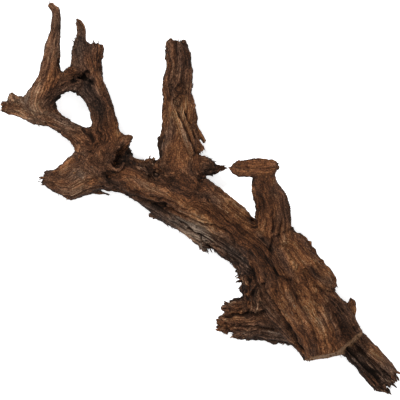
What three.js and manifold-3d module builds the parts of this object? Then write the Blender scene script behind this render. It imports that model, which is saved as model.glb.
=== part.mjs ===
// A weathered piece of driftwood, 0.62 m long: a root trunk that ends in a sawn slab, with a
// forked antler of branches at the other end, one tall broken branch, and a short sawn stem.
// It grew as one piece, so every limb is joined into one solid.
//
// Each limb is a tube carried along a smooth curve. Long flutes of grain, knots and hollows are
// raised from it by formula, and it swells gently where it leaves its neighbour.
// Lengths are in millimetres. Routes are laid out as seen from above, with x to the right,
// y away from the viewer and z up from the surface on which the wood lies.
import * as THREE from "three";
import { mergeVertices } from "three/addons/utils/BufferGeometryUtils.js";
import Module from "manifold-3d";

// Turn that brings the long axis of the wood onto +X, and the plan point that becomes the origin
const LONG_AXIS_TURN = THREE.MathUtils.degToRad(44);
const ORIGIN_IN_PLAN = new THREE.Vector3(11.9, -8.9, 0);

// Spacing of the rings along a limb and of the corners round it
const RING_STEP = 13.2;
const SIDE_STEP = 6;
const FEWEST_SIDES = 6;
const MOST_SIDES = 48;

// Grain: coarse flutes and finer ridges, much longer than they are wide
const FLUTE = { width: 14, run: 90, share: 0.13, most: 3.4 };
const RIDGE = { width: 7, run: 45, share: 0.07, most: 1.8 };
const SWELL = { run: 30, share: 0.05 };

// How far a limb rises to meet its neighbour, and the reach of that fillet
const FILLET = 20;
const FILLET_OF_STRAND = 2.5;

// Each station of a route is [x, y, z, half width in plan, half depth]
const LIMBS = {
  trunk: [
    [-130, 48, 36, 21.5, 20], [-106, 36.5, 35, 24, 22], [-78, 26.5, 35, 23.5, 23],
    [-46.5, 18, 37, 24.5, 25], [-13, 6, 39, 26.5, 27], [20.5, -13, 41, 23, 27],
    [50.5, -35, 42, 20.5, 27], [77, -54.5, 41, 24.5, 28], [97.5, -79.5, 38, 32, 29],
    [112, -106, 33.5, 37.5, 30.5], [130, -131.5, 30.5, 36.5, 31.5],
    [147, -156.5, 29.5, 34.5, 31], [159, -180.5, 29.5, 32.5, 28.5], [170, -206, 30, 31.5, 27],
  ],
  rightPlate: [
    [86, -43, 46, 12, 14], [109, -53, 48, 19.5, 16], [123.5, -67.5, 47, 18.5, 18],
    [139, -85, 45, 15, 18], [151, -97, 43, 12.5, 16], [157.5, -105.5, 42, 10, 12],
  ],
  rightStrip: [
    [139, -103, 40, 11, 14], [156, -120, 38, 13, 18], [169.5, -137, 36, 13, 20],
    [180.5, -154, 34, 11.5, 20], [189, -168.5, 33, 10, 18], [195, -180.5, 33, 9, 17],
  ],
  leftStrip: [
    [70, -116, 26, 12, 16], [87, -137.5, 24, 10.5, 17], [105, -158, 23, 9.5, 17],
    [119.5, -176.5, 24, 8, 17], [129, -190.5, 25, 6.5, 15], [136.5, -205, 25, 6, 13],
  ],
  bay: [
    [74.5, -67.5, 30, 17, 20], [67.5, -89.5, 26, 18, 18], [65, -110, 24, 17, 17],
    [69, -130.5, 24, 18, 17],
  ],
  rootTop: [
    [90.5, -127, 24, 14.5, 14], [70, -128, 22, 13.5, 13], [52, -129.5, 20, 11.5, 12],
    [37.5, -132, 19, 9.5, 10], [28, -134.5, 18, 6, 7],
  ],
  rootMiddle: [
    [103, -147.5, 20, 14.5, 16], [78.5, -145, 18, 14.5, 15], [58, -145.5, 17, 14, 14],
    [41, -146.5, 16, 13.5, 13], [29, -151, 15, 12, 10], [22, -151.5, 14, 8.5, 7],
    [18, -151.5, 14, 3.5, 4],
  ],
  rootLow: [
    [115, -167, 18, 11.5, 14], [94.5, -161, 16, 13.5, 13], [75, -157.5, 14, 12.5, 12],
    [58, -159, 13, 11.5, 11], [46, -161, 13, 8.5, 9], [40, -162.5, 13, 5, 6],
  ],
  tailRidge: [
    [163, -142.5, 24, 9.5, 14], [183.5, -161.5, 22, 9.5, 13], [200.5, -177.5, 20, 9, 12],
    [216.5, -192.5, 18, 8, 11], [230, -205, 17, 6, 9], [238.5, -213, 16, 3, 5],
  ],
  tailHollow: [
    [169.5, -163.5, 18, 11, 10], [189, -182, 14, 11, 9], [206, -197.5, 12, 11, 8],
    [221, -212.5, 11, 10.5, 7], [232, -222, 10, 7.5, 5], [235.5, -225.5, 10, 3.5, 3],
  ],
  tailLow: [
    [173, -175.5, 20, 8, 12], [186.5, -189.5, 17, 7.5, 12], [197.5, -203, 15, 7, 11],
    [208.5, -216.5, 14, 7, 10], [218, -226.5, 13, 6, 8], [225.5, -231.5, 12, 3.5, 5],
  ],
  thorn: [
    [179, -142, 36, 6.5, 8], [182, -129.5, 38, 6, 6], [182, -121, 40, 4, 4],
    [180.5, -117, 41, 1.5, 2],
  ],
  strand: [
    [-77, 9, 31, 5, 9], [-64, -2.5, 30, 6.5, 11], [-48, -12.5, 28, 8.5, 13],
    [-26.5, -24.5, 27, 9.5, 15], [0, -40.5, 27, 11, 16], [30, -57.5, 28, 11.5, 17],
    [55.5, -76.5, 28, 11.5, 17], [70, -95.5, 27, 11.5, 15],
  ],
  lowStrand: [
    [-51, -19.5, 20, 3.5, 6], [-30, -30, 19, 5, 7], [-11, -41.5, 18, 5.5, 7],
    [5, -52, 18, 5, 6], [14.5, -59.5, 18, 2.5, 4],
  ],
  nub: [
    [-46, -14.5, 24, 5.5, 8], [-55.5, -18.5, 22, 4, 5], [-60, -22, 21, 2.5, 2.5],
  ],
  tallBranch: [
    [-19, 12, 38, 21.5, 18], [-21.5, 33.5, 38, 24, 19], [-24, 51.5, 36, 24.5, 18],
    [-25, 68.5, 33, 25.5, 17], [-25.5, 87, 29, 22.5, 16], [-26, 103.5, 26, 21, 15.5],
    [-27, 121, 22, 19.5, 14.5], [-28, 138, 19, 19, 14], [-25.5, 155, 15, 17.5, 13.5],
    [-25.5, 170, 12.5, 16, 12.5], [-28, 182, 12, 14.5, 11.5], [-29.5, 190.5, 12, 12, 9],
    [-30.5, 194, 12, 8.5, 6],
  ],
  splinterLong: [
    [-17, 110.5, 36, 5.5, 5], [-11, 96, 36, 5.5, 5], [-4, 84, 34, 5, 4.5], [2, 76, 33, 4, 4],
    [7, 70, 32, 3, 2.5],
  ],
  splinterShort: [
    [-14.5, 94, 34, 4, 4], [-7, 79.5, 32, 4, 4], [-1, 68.5, 30, 4, 3.5],
    [3.5, 60.5, 29, 2.5, 2],
  ],
  spur: [
    [-19, 36, 34, 14.5, 14], [-1, 41, 34, 14.5, 12], [11, 41, 34, 11, 9],
    [20.5, 38.5, 34, 6, 5], [27.5, 38, 34, 3, 3], [33.5, 38.5, 34, 1, 1],
  ],
  barkLump: [
    [-67, 31, 42, 11, 9], [-60, 42, 45, 8.5, 8], [-55, 49, 46, 4, 4.5],
  ],
  knob: [
    [-103, 55, 42, 13, 15], [-93.5, 66, 43, 9, 10], [-87.5, 73, 43, 6, 6.5],
    [-81.5, 76, 43, 3, 3.5],
  ],
  knobLow: [
    [-101, 48, 32, 14.5, 15], [-89, 58, 30, 7, 9], [-82, 61.5, 29, 2.5, 4],
  ],
  stub: [
    [-94, 36, 34, 13, 13], [-110.5, 38, 35, 21, 18], [-127.5, 37.5, 33, 25.5, 20],
    [-142, 31.5, 28.5, 24.5, 18], [-156, 23.5, 20.5, 22.5, 17], [-168.5, 22, 13.5, 19.5, 15.5],
    [-179.5, 22.5, 11, 15, 14], [-187.5, 24.5, 10.5, 11, 11.5], [-193, 26, 11.5, 8, 7.5],
  ],
  stubLow: [
    [-123, 20.5, 26, 9.5, 14], [-140, 15.5, 22, 10.5, 13], [-152.5, 11, 17, 9.5, 11],
    [-160, 7.5, 14, 8, 8], [-163.5, 6, 13, 5, 5],
  ],
  stubSliver: [
    [-140.5, 12, 14, 5, 5], [-127, 9.5, 14, 3, 3.5], [-116.5, 8.5, 14, 2, 2],
    [-106.5, 5.5, 14, 0.5, 1],
  ],
  antler: [
    [-113, 38.5, 36, 21.5, 20], [-115.5, 57.5, 38, 21.5, 20], [-114.5, 75.5, 40, 18, 17],
    [-115, 93.5, 42, 14.5, 14], [-120, 111.5, 44, 14.5, 13], [-127, 127, 46, 15.5, 13],
    [-132.5, 141, 47, 16, 13], [-135, 155.5, 48, 15, 12], [-136, 170, 48, 16.5, 10.5],
    [-136.5, 179.5, 47, 15.5, 9], [-136.5, 184, 46, 11, 6],
  ],
  fingerMiddle: [
    [-140, 160.5, 48, 11, 9], [-143, 174.5, 49, 10, 8], [-142.5, 186.5, 50, 6.5, 7],
    [-142, 197, 51, 5, 6], [-142.5, 205.5, 52, 5, 5.5], [-145, 212, 53, 4, 4],
    [-147.5, 216, 53, 1.5, 1.5],
  ],
  fingerRight: [
    [-127, 158, 49, 8, 9], [-125, 172, 50, 7, 8.5], [-123, 181.5, 51, 6.5, 8],
    [-123, 187.5, 52, 4.5, 5], [-123, 190.5, 52, 2, 2.5],
  ],
  arm: [
    [-115.5, 53, 36, 18, 18], [-129.5, 65, 38, 15, 16], [-142.5, 75, 41, 12.5, 13],
    [-157, 84, 44, 10.5, 11.5], [-172.5, 93.5, 46, 10, 11], [-189, 101.5, 47, 10, 11],
    [-206, 107.5, 47, 10.5, 10.5], [-220.5, 111.5, 46, 10, 10], [-231, 113, 45, 8, 8],
    [-237, 114, 45, 3.5, 4],
  ],
  armEar: [
    [-223.5, 115, 48, 6.5, 6], [-224.5, 122, 50, 5, 4], [-226, 127.5, 51, 1.5, 2],
  ],
  fingerTall: [
    [-188, 99.5, 46, 13, 11], [-192, 112.5, 48, 18.5, 12], [-190, 123, 50, 18, 13],
    [-185, 135, 53, 15.5, 13], [-180, 146.5, 56, 13.5, 12], [-177.5, 159.5, 59, 12, 11],
    [-175.5, 172.5, 62, 10.5, 10], [-174, 184, 65, 9.5, 9], [-172, 196, 67, 8, 8],
    [-171, 207.5, 69, 7, 7], [-170.5, 218.5, 70, 6, 6], [-171.5, 225.5, 70, 5, 5],
    [-175.5, 229.5, 70, 4, 3.5], [-180.5, 233, 70, 2, 1.5],
  ],
  fingerProng: [
    [-170.5, 218.5, 69, 3.5, 5], [-168.5, 224, 70, 2, 3], [-168, 228, 70, 1, 1],
  ],
  fingerLedge: [
    [-196.5, 129.5, 46, 3.5, 6], [-190, 153, 50, 3, 6], [-185.5, 170.5, 54, 2.5, 5],
    [-182.5, 186, 58, 2, 4], [-178.5, 199, 60, 1, 2.5],
  ],
  bridge: [
    [-187.5, 120.5, 50, 11, 11], [-177, 131.5, 52, 11, 11], [-167, 137.5, 52, 10.5, 11],
    [-157.5, 142, 51, 12.5, 11.5], [-147, 144.5, 49, 14.5, 11.5], [-135.5, 145, 46, 11.5, 9],
    [-126, 145, 45, 6.5, 6],
  ],
  stem: [
    [95, -57.5, 40, 15.5, 11], [92, -43, 52, 20.5, 16], [87.5, -22.5, 62, 21, 17],
    [84, -3.5, 73, 20, 16], [79.5, 12, 87, 18.5, 15], [76.5, 23.5, 98, 15, 13],
    [75, 33, 106, 13.5, 11],
  ],
  cap: [
    [34.5, 37, 104, 1, 1.5], [39, 37, 104, 5.5, 4], [45.5, 36.5, 105, 9, 7],
    [55, 36.5, 106, 10, 9], [65.5, 37, 107, 10.5, 10], [76, 37, 107, 10.5, 10],
    [83.5, 37, 106, 9, 9], [89, 38, 105, 5.5, 6],
  ],
};

// Thin limbs that lie along a thicker one and keep a crack between them
const STRANDS = new Set([
  "strand", "lowStrand", "leftStrip", "rightStrip", "rightPlate", "tailRidge", "tailHollow",
  "tailLow", "rootTop", "rootMiddle", "rootLow", "splinterLong", "splinterShort", "stubSliver",
  "fingerLedge", "fingerProng", "stubLow",
]);

// Turn of the grain round a limb for each millimetre along it, and lean of a section about it
const TWIST = { trunk: 0.002, tallBranch: 0.006, fingerTall: -0.004, stem: 0.003, arm: -0.004 };
const ROLL = { cap: THREE.MathUtils.degToRad(-30) };

// Sawn faces: what stands past the plane through `at` is pressed flat onto it
const SAW_CUTS = {
  trunk: { at: [147.5, -192.5, 30], facing: [0.12, -0.98, 0.16] },
  leftStrip: { at: [147.5, -191, 30], facing: [0.12, -0.98, 0.1] },
  rightStrip: { at: [181, -175, 30], facing: [0.5, -0.85, 0.16] },
  cap: { at: [67, 38, 111], facing: [0, 0.5, 0.87] },
};

// Pits and knots in the upper side: plan centre, radius and depth, where a lump is a negative depth
const HOLLOWS = [
  { name: "pit by the knob", at: [-95, 55], radius: 8, depth: 9 },
  { name: "eye of the knot", at: [-103, 39.5], radius: 4.5, depth: 5 },
  { name: "trough below the knot", at: [-105, 29], radius: 6, depth: 5 },
  { name: "lip of the knot", at: [-97, 38], radius: 6, depth: -3 },
  { name: "bark pit", at: [-50, 33], radius: 5, depth: 6 },
  { name: "hollow under the spur", at: [3, 24], radius: 6.5, depth: 9 },
  { name: "crevice over the ring", at: [-139, 147], radius: 5, depth: 5 },
  { name: "channel of the tall branch", at: [-28, 163], radius: 6, depth: 4 },
  { name: "upper eye of the tall branch", at: [-33, 144], radius: 5, depth: 5 },
  { name: "lower eye of the tall branch", at: [-27, 124], radius: 5, depth: 5 },
  { name: "upper dip of the slab", at: [130, -91], radius: 10, depth: 3 },
  { name: "lower dip of the slab", at: [160, -141], radius: 11, depth: 5 },
  { name: "end dip of the slab", at: [172, -163], radius: 9, depth: 5 },
];

// Rows of torn fibres: pointed splinters that stand out between two points of an edge
const FRINGES = [
  {
    name: "bay", from: [51, -84, 24], to: [51, -116, 22],
    point: [-1, -0.3, 0], count: 7, length: 5.5, radius: 2.4,
  },
  {
    name: "low strand", from: [-4, -46, 17], to: [24, -64, 18],
    point: [0.7, -0.7, 0], count: 7, length: 10, radius: 1.8,
  },
  {
    name: "stub tip", from: [-190, 30, 12], to: [-190, 20, 11],
    point: [-1, 0.3, 0.2], count: 5, length: 8, radius: 1.5,
  },
  {
    name: "root edge", from: [30, -128, 20], to: [27, -138, 17],
    point: [-1, -0.35, 0], count: 4, length: 8, radius: 1.8,
  },
  {
    name: "tail end", from: [236, -208, 15], to: [222, -228, 10],
    point: [0.72, -0.69, 0], count: 9, length: 9, radius: 2.6,
  },
  {
    name: "arm tip", from: [-235, 117, 46], to: [-236, 111, 45],
    point: [-1, 0, 0], count: 4, length: 6, radius: 1.8,
  },
  {
    name: "tall finger tip", from: [-178, 231, 70], to: [-181, 233, 70],
    point: [-0.8, 0.3, 0], count: 3, length: 5, radius: 1.4,
  },
  {
    name: "branch side", from: [-1, 73, 29], to: [7, 70, 30],
    point: [0.6, -0.8, 0], count: 4, length: 8, radius: 1.7,
  },
];
const SPLINTER_SIDES = 5;
const SPLINTER_SPREAD = 0.35;

// The wood is trimmed flat where it rests
const GROUND_BLOCK = 900;

const Z_UP = new THREE.Vector3(0, 0, 1);

// A repeatable height between 0 and 1 for a whole-numbered place
function lattice(i, j, k) {
  const s = Math.sin(i * 127.1 + j * 311.7 + k * 74.7) * 43758.5453;
  return s - Math.floor(s);
}

const ease = (t) => t * t * (3 - 2 * t);
const mix = (a, b, t) => a + (b - a) * t;

// Smooth noise from -1 to 1: the heights of the eight whole-numbered places round a point, eased
function noise(x, y, z) {
  const [i, j, k] = [Math.floor(x), Math.floor(y), Math.floor(z)];
  const [u, v, w] = [ease(x - i), ease(y - j), ease(z - k)];
  const edge = (b, c) => mix(lattice(i, j + b, k + c), lattice(i + 1, j + b, k + c), u);
  const face = (c) => mix(edge(0, c), edge(1, c), v);
  return 2 * mix(face(0), face(1), w) - 1;
}

// A limb sampled at even steps: the centre, the direction along it, and its section's two
// half axes, `side` in plan and `rise` upwards
function ringsOf(name, step) {
  const route = LIMBS[name];
  const path = new THREE.CatmullRomCurve3(
    route.map(([x, y, z]) => new THREE.Vector3(x, y, z)), false, "catmullrom");
  const size = new THREE.CatmullRomCurve3(
    route.map(([, , , width, depth]) => new THREE.Vector3(width, depth, 0)), false, "catmullrom");
  const length = path.getLength();
  const count = Math.max(4, Math.round(length / step));
  return Array.from({ length: count + 1 }, (_, i) => {
    const t = path.getUtoTmapping(i / count);
    const along = path.getTangent(t);
    const side = along.clone().cross(Z_UP).normalize();
    const rise = side.clone().cross(along);
    const roll = ROLL[name] ?? 0;
    side.applyAxisAngle(along, roll);
    rise.applyAxisAngle(along, roll);
    const half = size.getPoint(t);
    return {
      centre: path.getPoint(t), along, side, rise, run: (i / count) * length,
      width: Math.max(half.x, 0.4), depth: Math.max(half.y, 0.4),
    };
  });
}

// Height of the grain over the plain section, from the point of the section and the run
function grainHeight(x, y, run, size, seed) {
  const layer = ({ width, run: long, share, most }) =>
    Math.min(share * size, most) * noise(x / width, y / width, run / long + seed);
  return layer(FLUTE) + layer(RIDGE) + SWELL.share * size * noise(run / SWELL.run, seed, 0.5);
}

// Distance from a point to the nearest other limb's skin, negative inside it
function distanceToOthers(point, self) {
  let [nearest, blend] = [Infinity, FILLET];
  for (const [name, rings] of SAMPLED) {
    if (name === self) continue;
    let [closest, best] = [null, Infinity];
    for (const ring of rings) {
      const d = ring.centre.distanceToSquared(point);
      if (d < best) [closest, best] = [ring, d];
    }
    const offset = point.clone().sub(closest.centre);
    const [x, y] = [offset.dot(closest.side), offset.dot(closest.rise)];
    const share = Math.hypot(x / closest.width, y / closest.depth);
    const slope = Math.hypot(x / closest.width ** 2, y / closest.depth ** 2) || 1;
    const past = Math.max(0, Math.abs(offset.dot(closest.along)) - RING_STEP);
    const across = (share * (share - 1)) / slope;
    const distance = past > 0 ? Math.hypot(Math.max(across, 0), past) : across;
    if (distance < nearest) {
      nearest = distance;
      blend = STRANDS.has(name) ? FILLET_OF_STRAND : FILLET;
    }
  }
  return { nearest, blend };
}

// A quarter of the reach at the seam, falling to nothing one reach away
function filletLift(point, self) {
  const { nearest, blend } = distanceToOthers(point, self);
  const reach = STRANDS.has(self) ? FILLET_OF_STRAND : blend;
  return (reach / 4) * Math.max(0, 1 - Math.abs(nearest) / reach) ** 2;
}

// How far the pits and knots push a point of the upper side inwards
function hollowDepth(point, facingUp) {
  if (facingUp <= 0) return 0;
  return HOLLOWS.reduce((sum, { at: [x, y], radius, depth }) => {
    const r2 = ((point.x - x) ** 2 + (point.y - y) ** 2) / radius ** 2;
    return sum + depth * Math.exp(-r2);
  }, 0) * facingUp;
}

function pressOntoSawCut(point, cut) {
  const facing = new THREE.Vector3(...cut.facing).normalize();
  const past = point.clone().sub(new THREE.Vector3(...cut.at)).dot(facing);
  if (past > 0) point.addScaledVector(facing, -past);
}

// One point of a limb's skin, at an angle round the section from its side
function skinPoint(name, ring, angle, seed) {
  const [c, s] = [Math.cos(angle), Math.sin(angle)];
  const [x, y] = [ring.width * c, ring.depth * s];
  const outward = new THREE.Vector3()
    .addScaledVector(ring.side, ring.depth * c)
    .addScaledVector(ring.rise, ring.width * s)
    .normalize();
  const turn = (TWIST[name] ?? 0) * ring.run;
  const [gx, gy] = [x * Math.cos(turn) - y * Math.sin(turn), x * Math.sin(turn) + y * Math.cos(turn)];
  const point = ring.centre.clone().addScaledVector(ring.side, x).addScaledVector(ring.rise, y);
  const height = grainHeight(gx, gy, ring.run, Math.min(ring.width, ring.depth), seed);
  const lift = filletLift(point, name) - hollowDepth(point, outward.z);
  point.addScaledVector(outward, height + lift);
  if (SAW_CUTS[name]) pressOntoSawCut(point, SAW_CUTS[name]);
  return point;
}

// The closed skin of one limb: rings of points, joined by quads and closed by a fan at each end
function limbGeometry(name, index) {
  const rings = ringsOf(name, RING_STEP);
  const widest = Math.max(...rings.map((ring) => (ring.width + ring.depth) / 2));
  const sides = THREE.MathUtils.clamp(
    Math.round((2 * Math.PI * widest) / SIDE_STEP), FEWEST_SIDES, MOST_SIDES);
  const points = rings.flatMap((ring) =>
    Array.from({ length: sides }, (_, j) => skinPoint(name, ring, (2 * Math.PI * j) / sides, index)));
  const [first, last] = [rings[0], rings.at(-1)];
  const tip = (ring, way) =>
    ring.centre.clone().addScaledVector(ring.along, way * 0.5 * Math.min(ring.width, ring.depth));
  const ends = [tip(first, -1), tip(last, 1)];
  if (SAW_CUTS[name]) ends.forEach((end) => pressOntoSawCut(end, SAW_CUTS[name]));
  const [startTip, endTip] = [points.length, points.length + 1];
  const at = (i, j) => i * sides + (j % sides);
  const faces = [];
  for (let j = 0; j < sides; j++) {
    faces.push(startTip, at(0, j), at(0, j + 1));
    for (let i = 0; i < rings.length - 1; i++) {
      faces.push(at(i, j), at(i + 1, j), at(i + 1, j + 1));
      faces.push(at(i, j), at(i + 1, j + 1), at(i, j + 1));
    }
    faces.push(endTip, at(rings.length - 1, j + 1), at(rings.length - 1, j));
  }
  return new THREE.BufferGeometry().setFromPoints([...points, ...ends]).setIndex(faces);
}

// Pointed splinters along one torn edge, each turned and lengthened a little by its number
function fringeGeometries({ from, to, point, count, length, radius }, index) {
  const [start, end] = [new THREE.Vector3(...from), new THREE.Vector3(...to)];
  return Array.from({ length: count }, (_, i) => {
    const chance = (k) => lattice(i, index, k) - 0.5;
    const long = length * (1 + chance(1));
    const way = new THREE.Vector3(...point)
      .add(new THREE.Vector3(chance(2), chance(3), chance(4)).multiplyScalar(SPLINTER_SPREAD))
      .normalize();
    const turn = new THREE.Quaternion().setFromUnitVectors(new THREE.Vector3(0, 1, 0), way);
    const place = start.clone().lerp(end, (i + 0.5 + chance(5)) / count);
    return new THREE.ConeGeometry(radius, 2 * long, SPLINTER_SIDES)
      .applyQuaternion(turn)
      .translate(...place);
  });
}

const wasm = await Module();
wasm.setup();

// A closed three.js geometry as a solid that can be joined and cut
function solidOf(geometry) {
  const bare = new THREE.BufferGeometry()
    .setAttribute("position", geometry.getAttribute("position"))
    .setIndex(geometry.index);
  const merged = mergeVertices(bare, 1e-4);
  return new wasm.Manifold(new wasm.Mesh({
    numProp: 3,
    vertProperties: merged.attributes.position.array,
    triVerts: new Uint32Array(merged.index.array),
  }));
}

function geometryOf(solid) {
  const { vertProperties, triVerts } = solid.getMesh();
  return new THREE.BufferGeometry()
    .setAttribute("position", new THREE.BufferAttribute(vertProperties, 3))
    .setIndex(new THREE.BufferAttribute(triVerts, 1));
}

// Joins every limb and splinter, then trims the underside level with the ground
function driftwoodGeometry() {
  const limbs = Object.keys(LIMBS).map(limbGeometry);
  const splinters = FRINGES.flatMap(fringeGeometries);
  const joined = [...limbs, ...splinters].map(solidOf).reduce((sum, solid) => sum.add(solid));
  const ground = new THREE.BoxGeometry(GROUND_BLOCK, GROUND_BLOCK, GROUND_BLOCK)
    .translate(0, 0, -GROUND_BLOCK / 2);
  const resting = joined.subtract(solidOf(ground));
  const largest = resting.decompose().sort((a, b) => b.volume() - a.volume())[0];
  return geometryOf(largest)
    .translate(...ORIGIN_IN_PLAN.clone().negate())
    .rotateZ(LONG_AXIS_TURN);
}

const SAMPLED = Object.keys(LIMBS).map((name) => [name, ringsOf(name, RING_STEP / 2)]);

const wood = new THREE.MeshStandardMaterial({ color: 0x5d4030, roughness: 0.85, metalness: 0 });
const driftwood = new THREE.Group();
const body = new THREE.Mesh(driftwoodGeometry(), wood);
body.name = "driftwood";
driftwood.add(body);

export default driftwood;
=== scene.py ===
# %% [markdown]
# # A piece of driftwood
# A root that lay in water and sun for years: a thick trunk that ends in a sawn slab, an antler
# of thin branches, one long broken branch and a short sawn stem. It could be sculpted by hand or
# scanned. Here it is worked out, because driftwood has a simple rule: everything follows the
# grain. Each limb is a tube along a curve, the limbs melt into one body, and flutes, cracks and
# colour all run along the limb they lie on.

# %% Load the fixed frame
import math

import bpy
import numpy as np
import openvdb
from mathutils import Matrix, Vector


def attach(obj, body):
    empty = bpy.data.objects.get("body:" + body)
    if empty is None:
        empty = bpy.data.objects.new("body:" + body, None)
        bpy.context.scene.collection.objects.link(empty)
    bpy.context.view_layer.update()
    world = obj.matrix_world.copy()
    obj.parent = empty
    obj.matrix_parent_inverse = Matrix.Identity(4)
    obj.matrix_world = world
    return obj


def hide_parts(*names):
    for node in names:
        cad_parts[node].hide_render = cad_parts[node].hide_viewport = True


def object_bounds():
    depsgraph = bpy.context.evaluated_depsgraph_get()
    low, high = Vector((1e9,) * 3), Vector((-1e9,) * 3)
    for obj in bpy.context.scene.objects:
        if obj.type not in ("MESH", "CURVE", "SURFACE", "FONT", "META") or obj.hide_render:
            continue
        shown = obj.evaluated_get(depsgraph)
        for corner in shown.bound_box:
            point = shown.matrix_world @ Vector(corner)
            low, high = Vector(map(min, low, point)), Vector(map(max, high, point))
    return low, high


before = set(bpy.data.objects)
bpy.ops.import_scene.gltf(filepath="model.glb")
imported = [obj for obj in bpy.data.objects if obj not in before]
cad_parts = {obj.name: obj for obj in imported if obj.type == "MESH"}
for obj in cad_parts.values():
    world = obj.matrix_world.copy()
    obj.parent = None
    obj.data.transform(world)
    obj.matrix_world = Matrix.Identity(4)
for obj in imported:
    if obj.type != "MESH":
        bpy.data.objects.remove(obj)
CAD_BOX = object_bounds()
MM = 0.001
scene = bpy.context.scene
print("CAD box", [[round(c, 4) for c in corner] for corner in CAD_BOX])

# %% [markdown]
# The wood was laid on a white table and seen from straight above. Plan coordinates are the
# picture's own: x to the right, y up the picture, in millimetres. The model lies with its long
# side along X, so one turn and one shift carry plan points into the model. A long lens from
# 2.67 m keeps the high cap of the stem from growing too much.

# %% Plan coordinates and the camera
LONG_AXIS_TURN = math.radians(44)
ORIGIN_IN_PLAN = np.array([11.9, -8.9, 0.0])
CAMERA_HEIGHT = 2670
VIEW_WIDTH = 480
VIEW_LEVEL = 40


def from_plan(points):
    """Plan millimetres to model millimetres: shift by the origin, then turn about Z."""
    x, y, z = np.moveaxis(np.asarray(points, float) - ORIGIN_IN_PLAN, -1, 0)
    c, s = math.cos(LONG_AXIS_TURN), math.sin(LONG_AXIS_TURN)
    return np.stack([c * x - s * y, s * x + c * y, z], axis=-1)


camera = bpy.data.objects.new("camera", bpy.data.cameras.new("camera"))
camera.data.sensor_width = 36
camera.data.lens = 36 * (CAMERA_HEIGHT - VIEW_LEVEL) / VIEW_WIDTH
camera.location = from_plan([0, 0, CAMERA_HEIGHT]) * MM
camera.rotation_euler = (0, 0, LONG_AXIS_TURN)
scene.collection.objects.link(camera)
scene.camera = camera
print("lens", round(camera.data.lens, 1), "mm")
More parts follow.
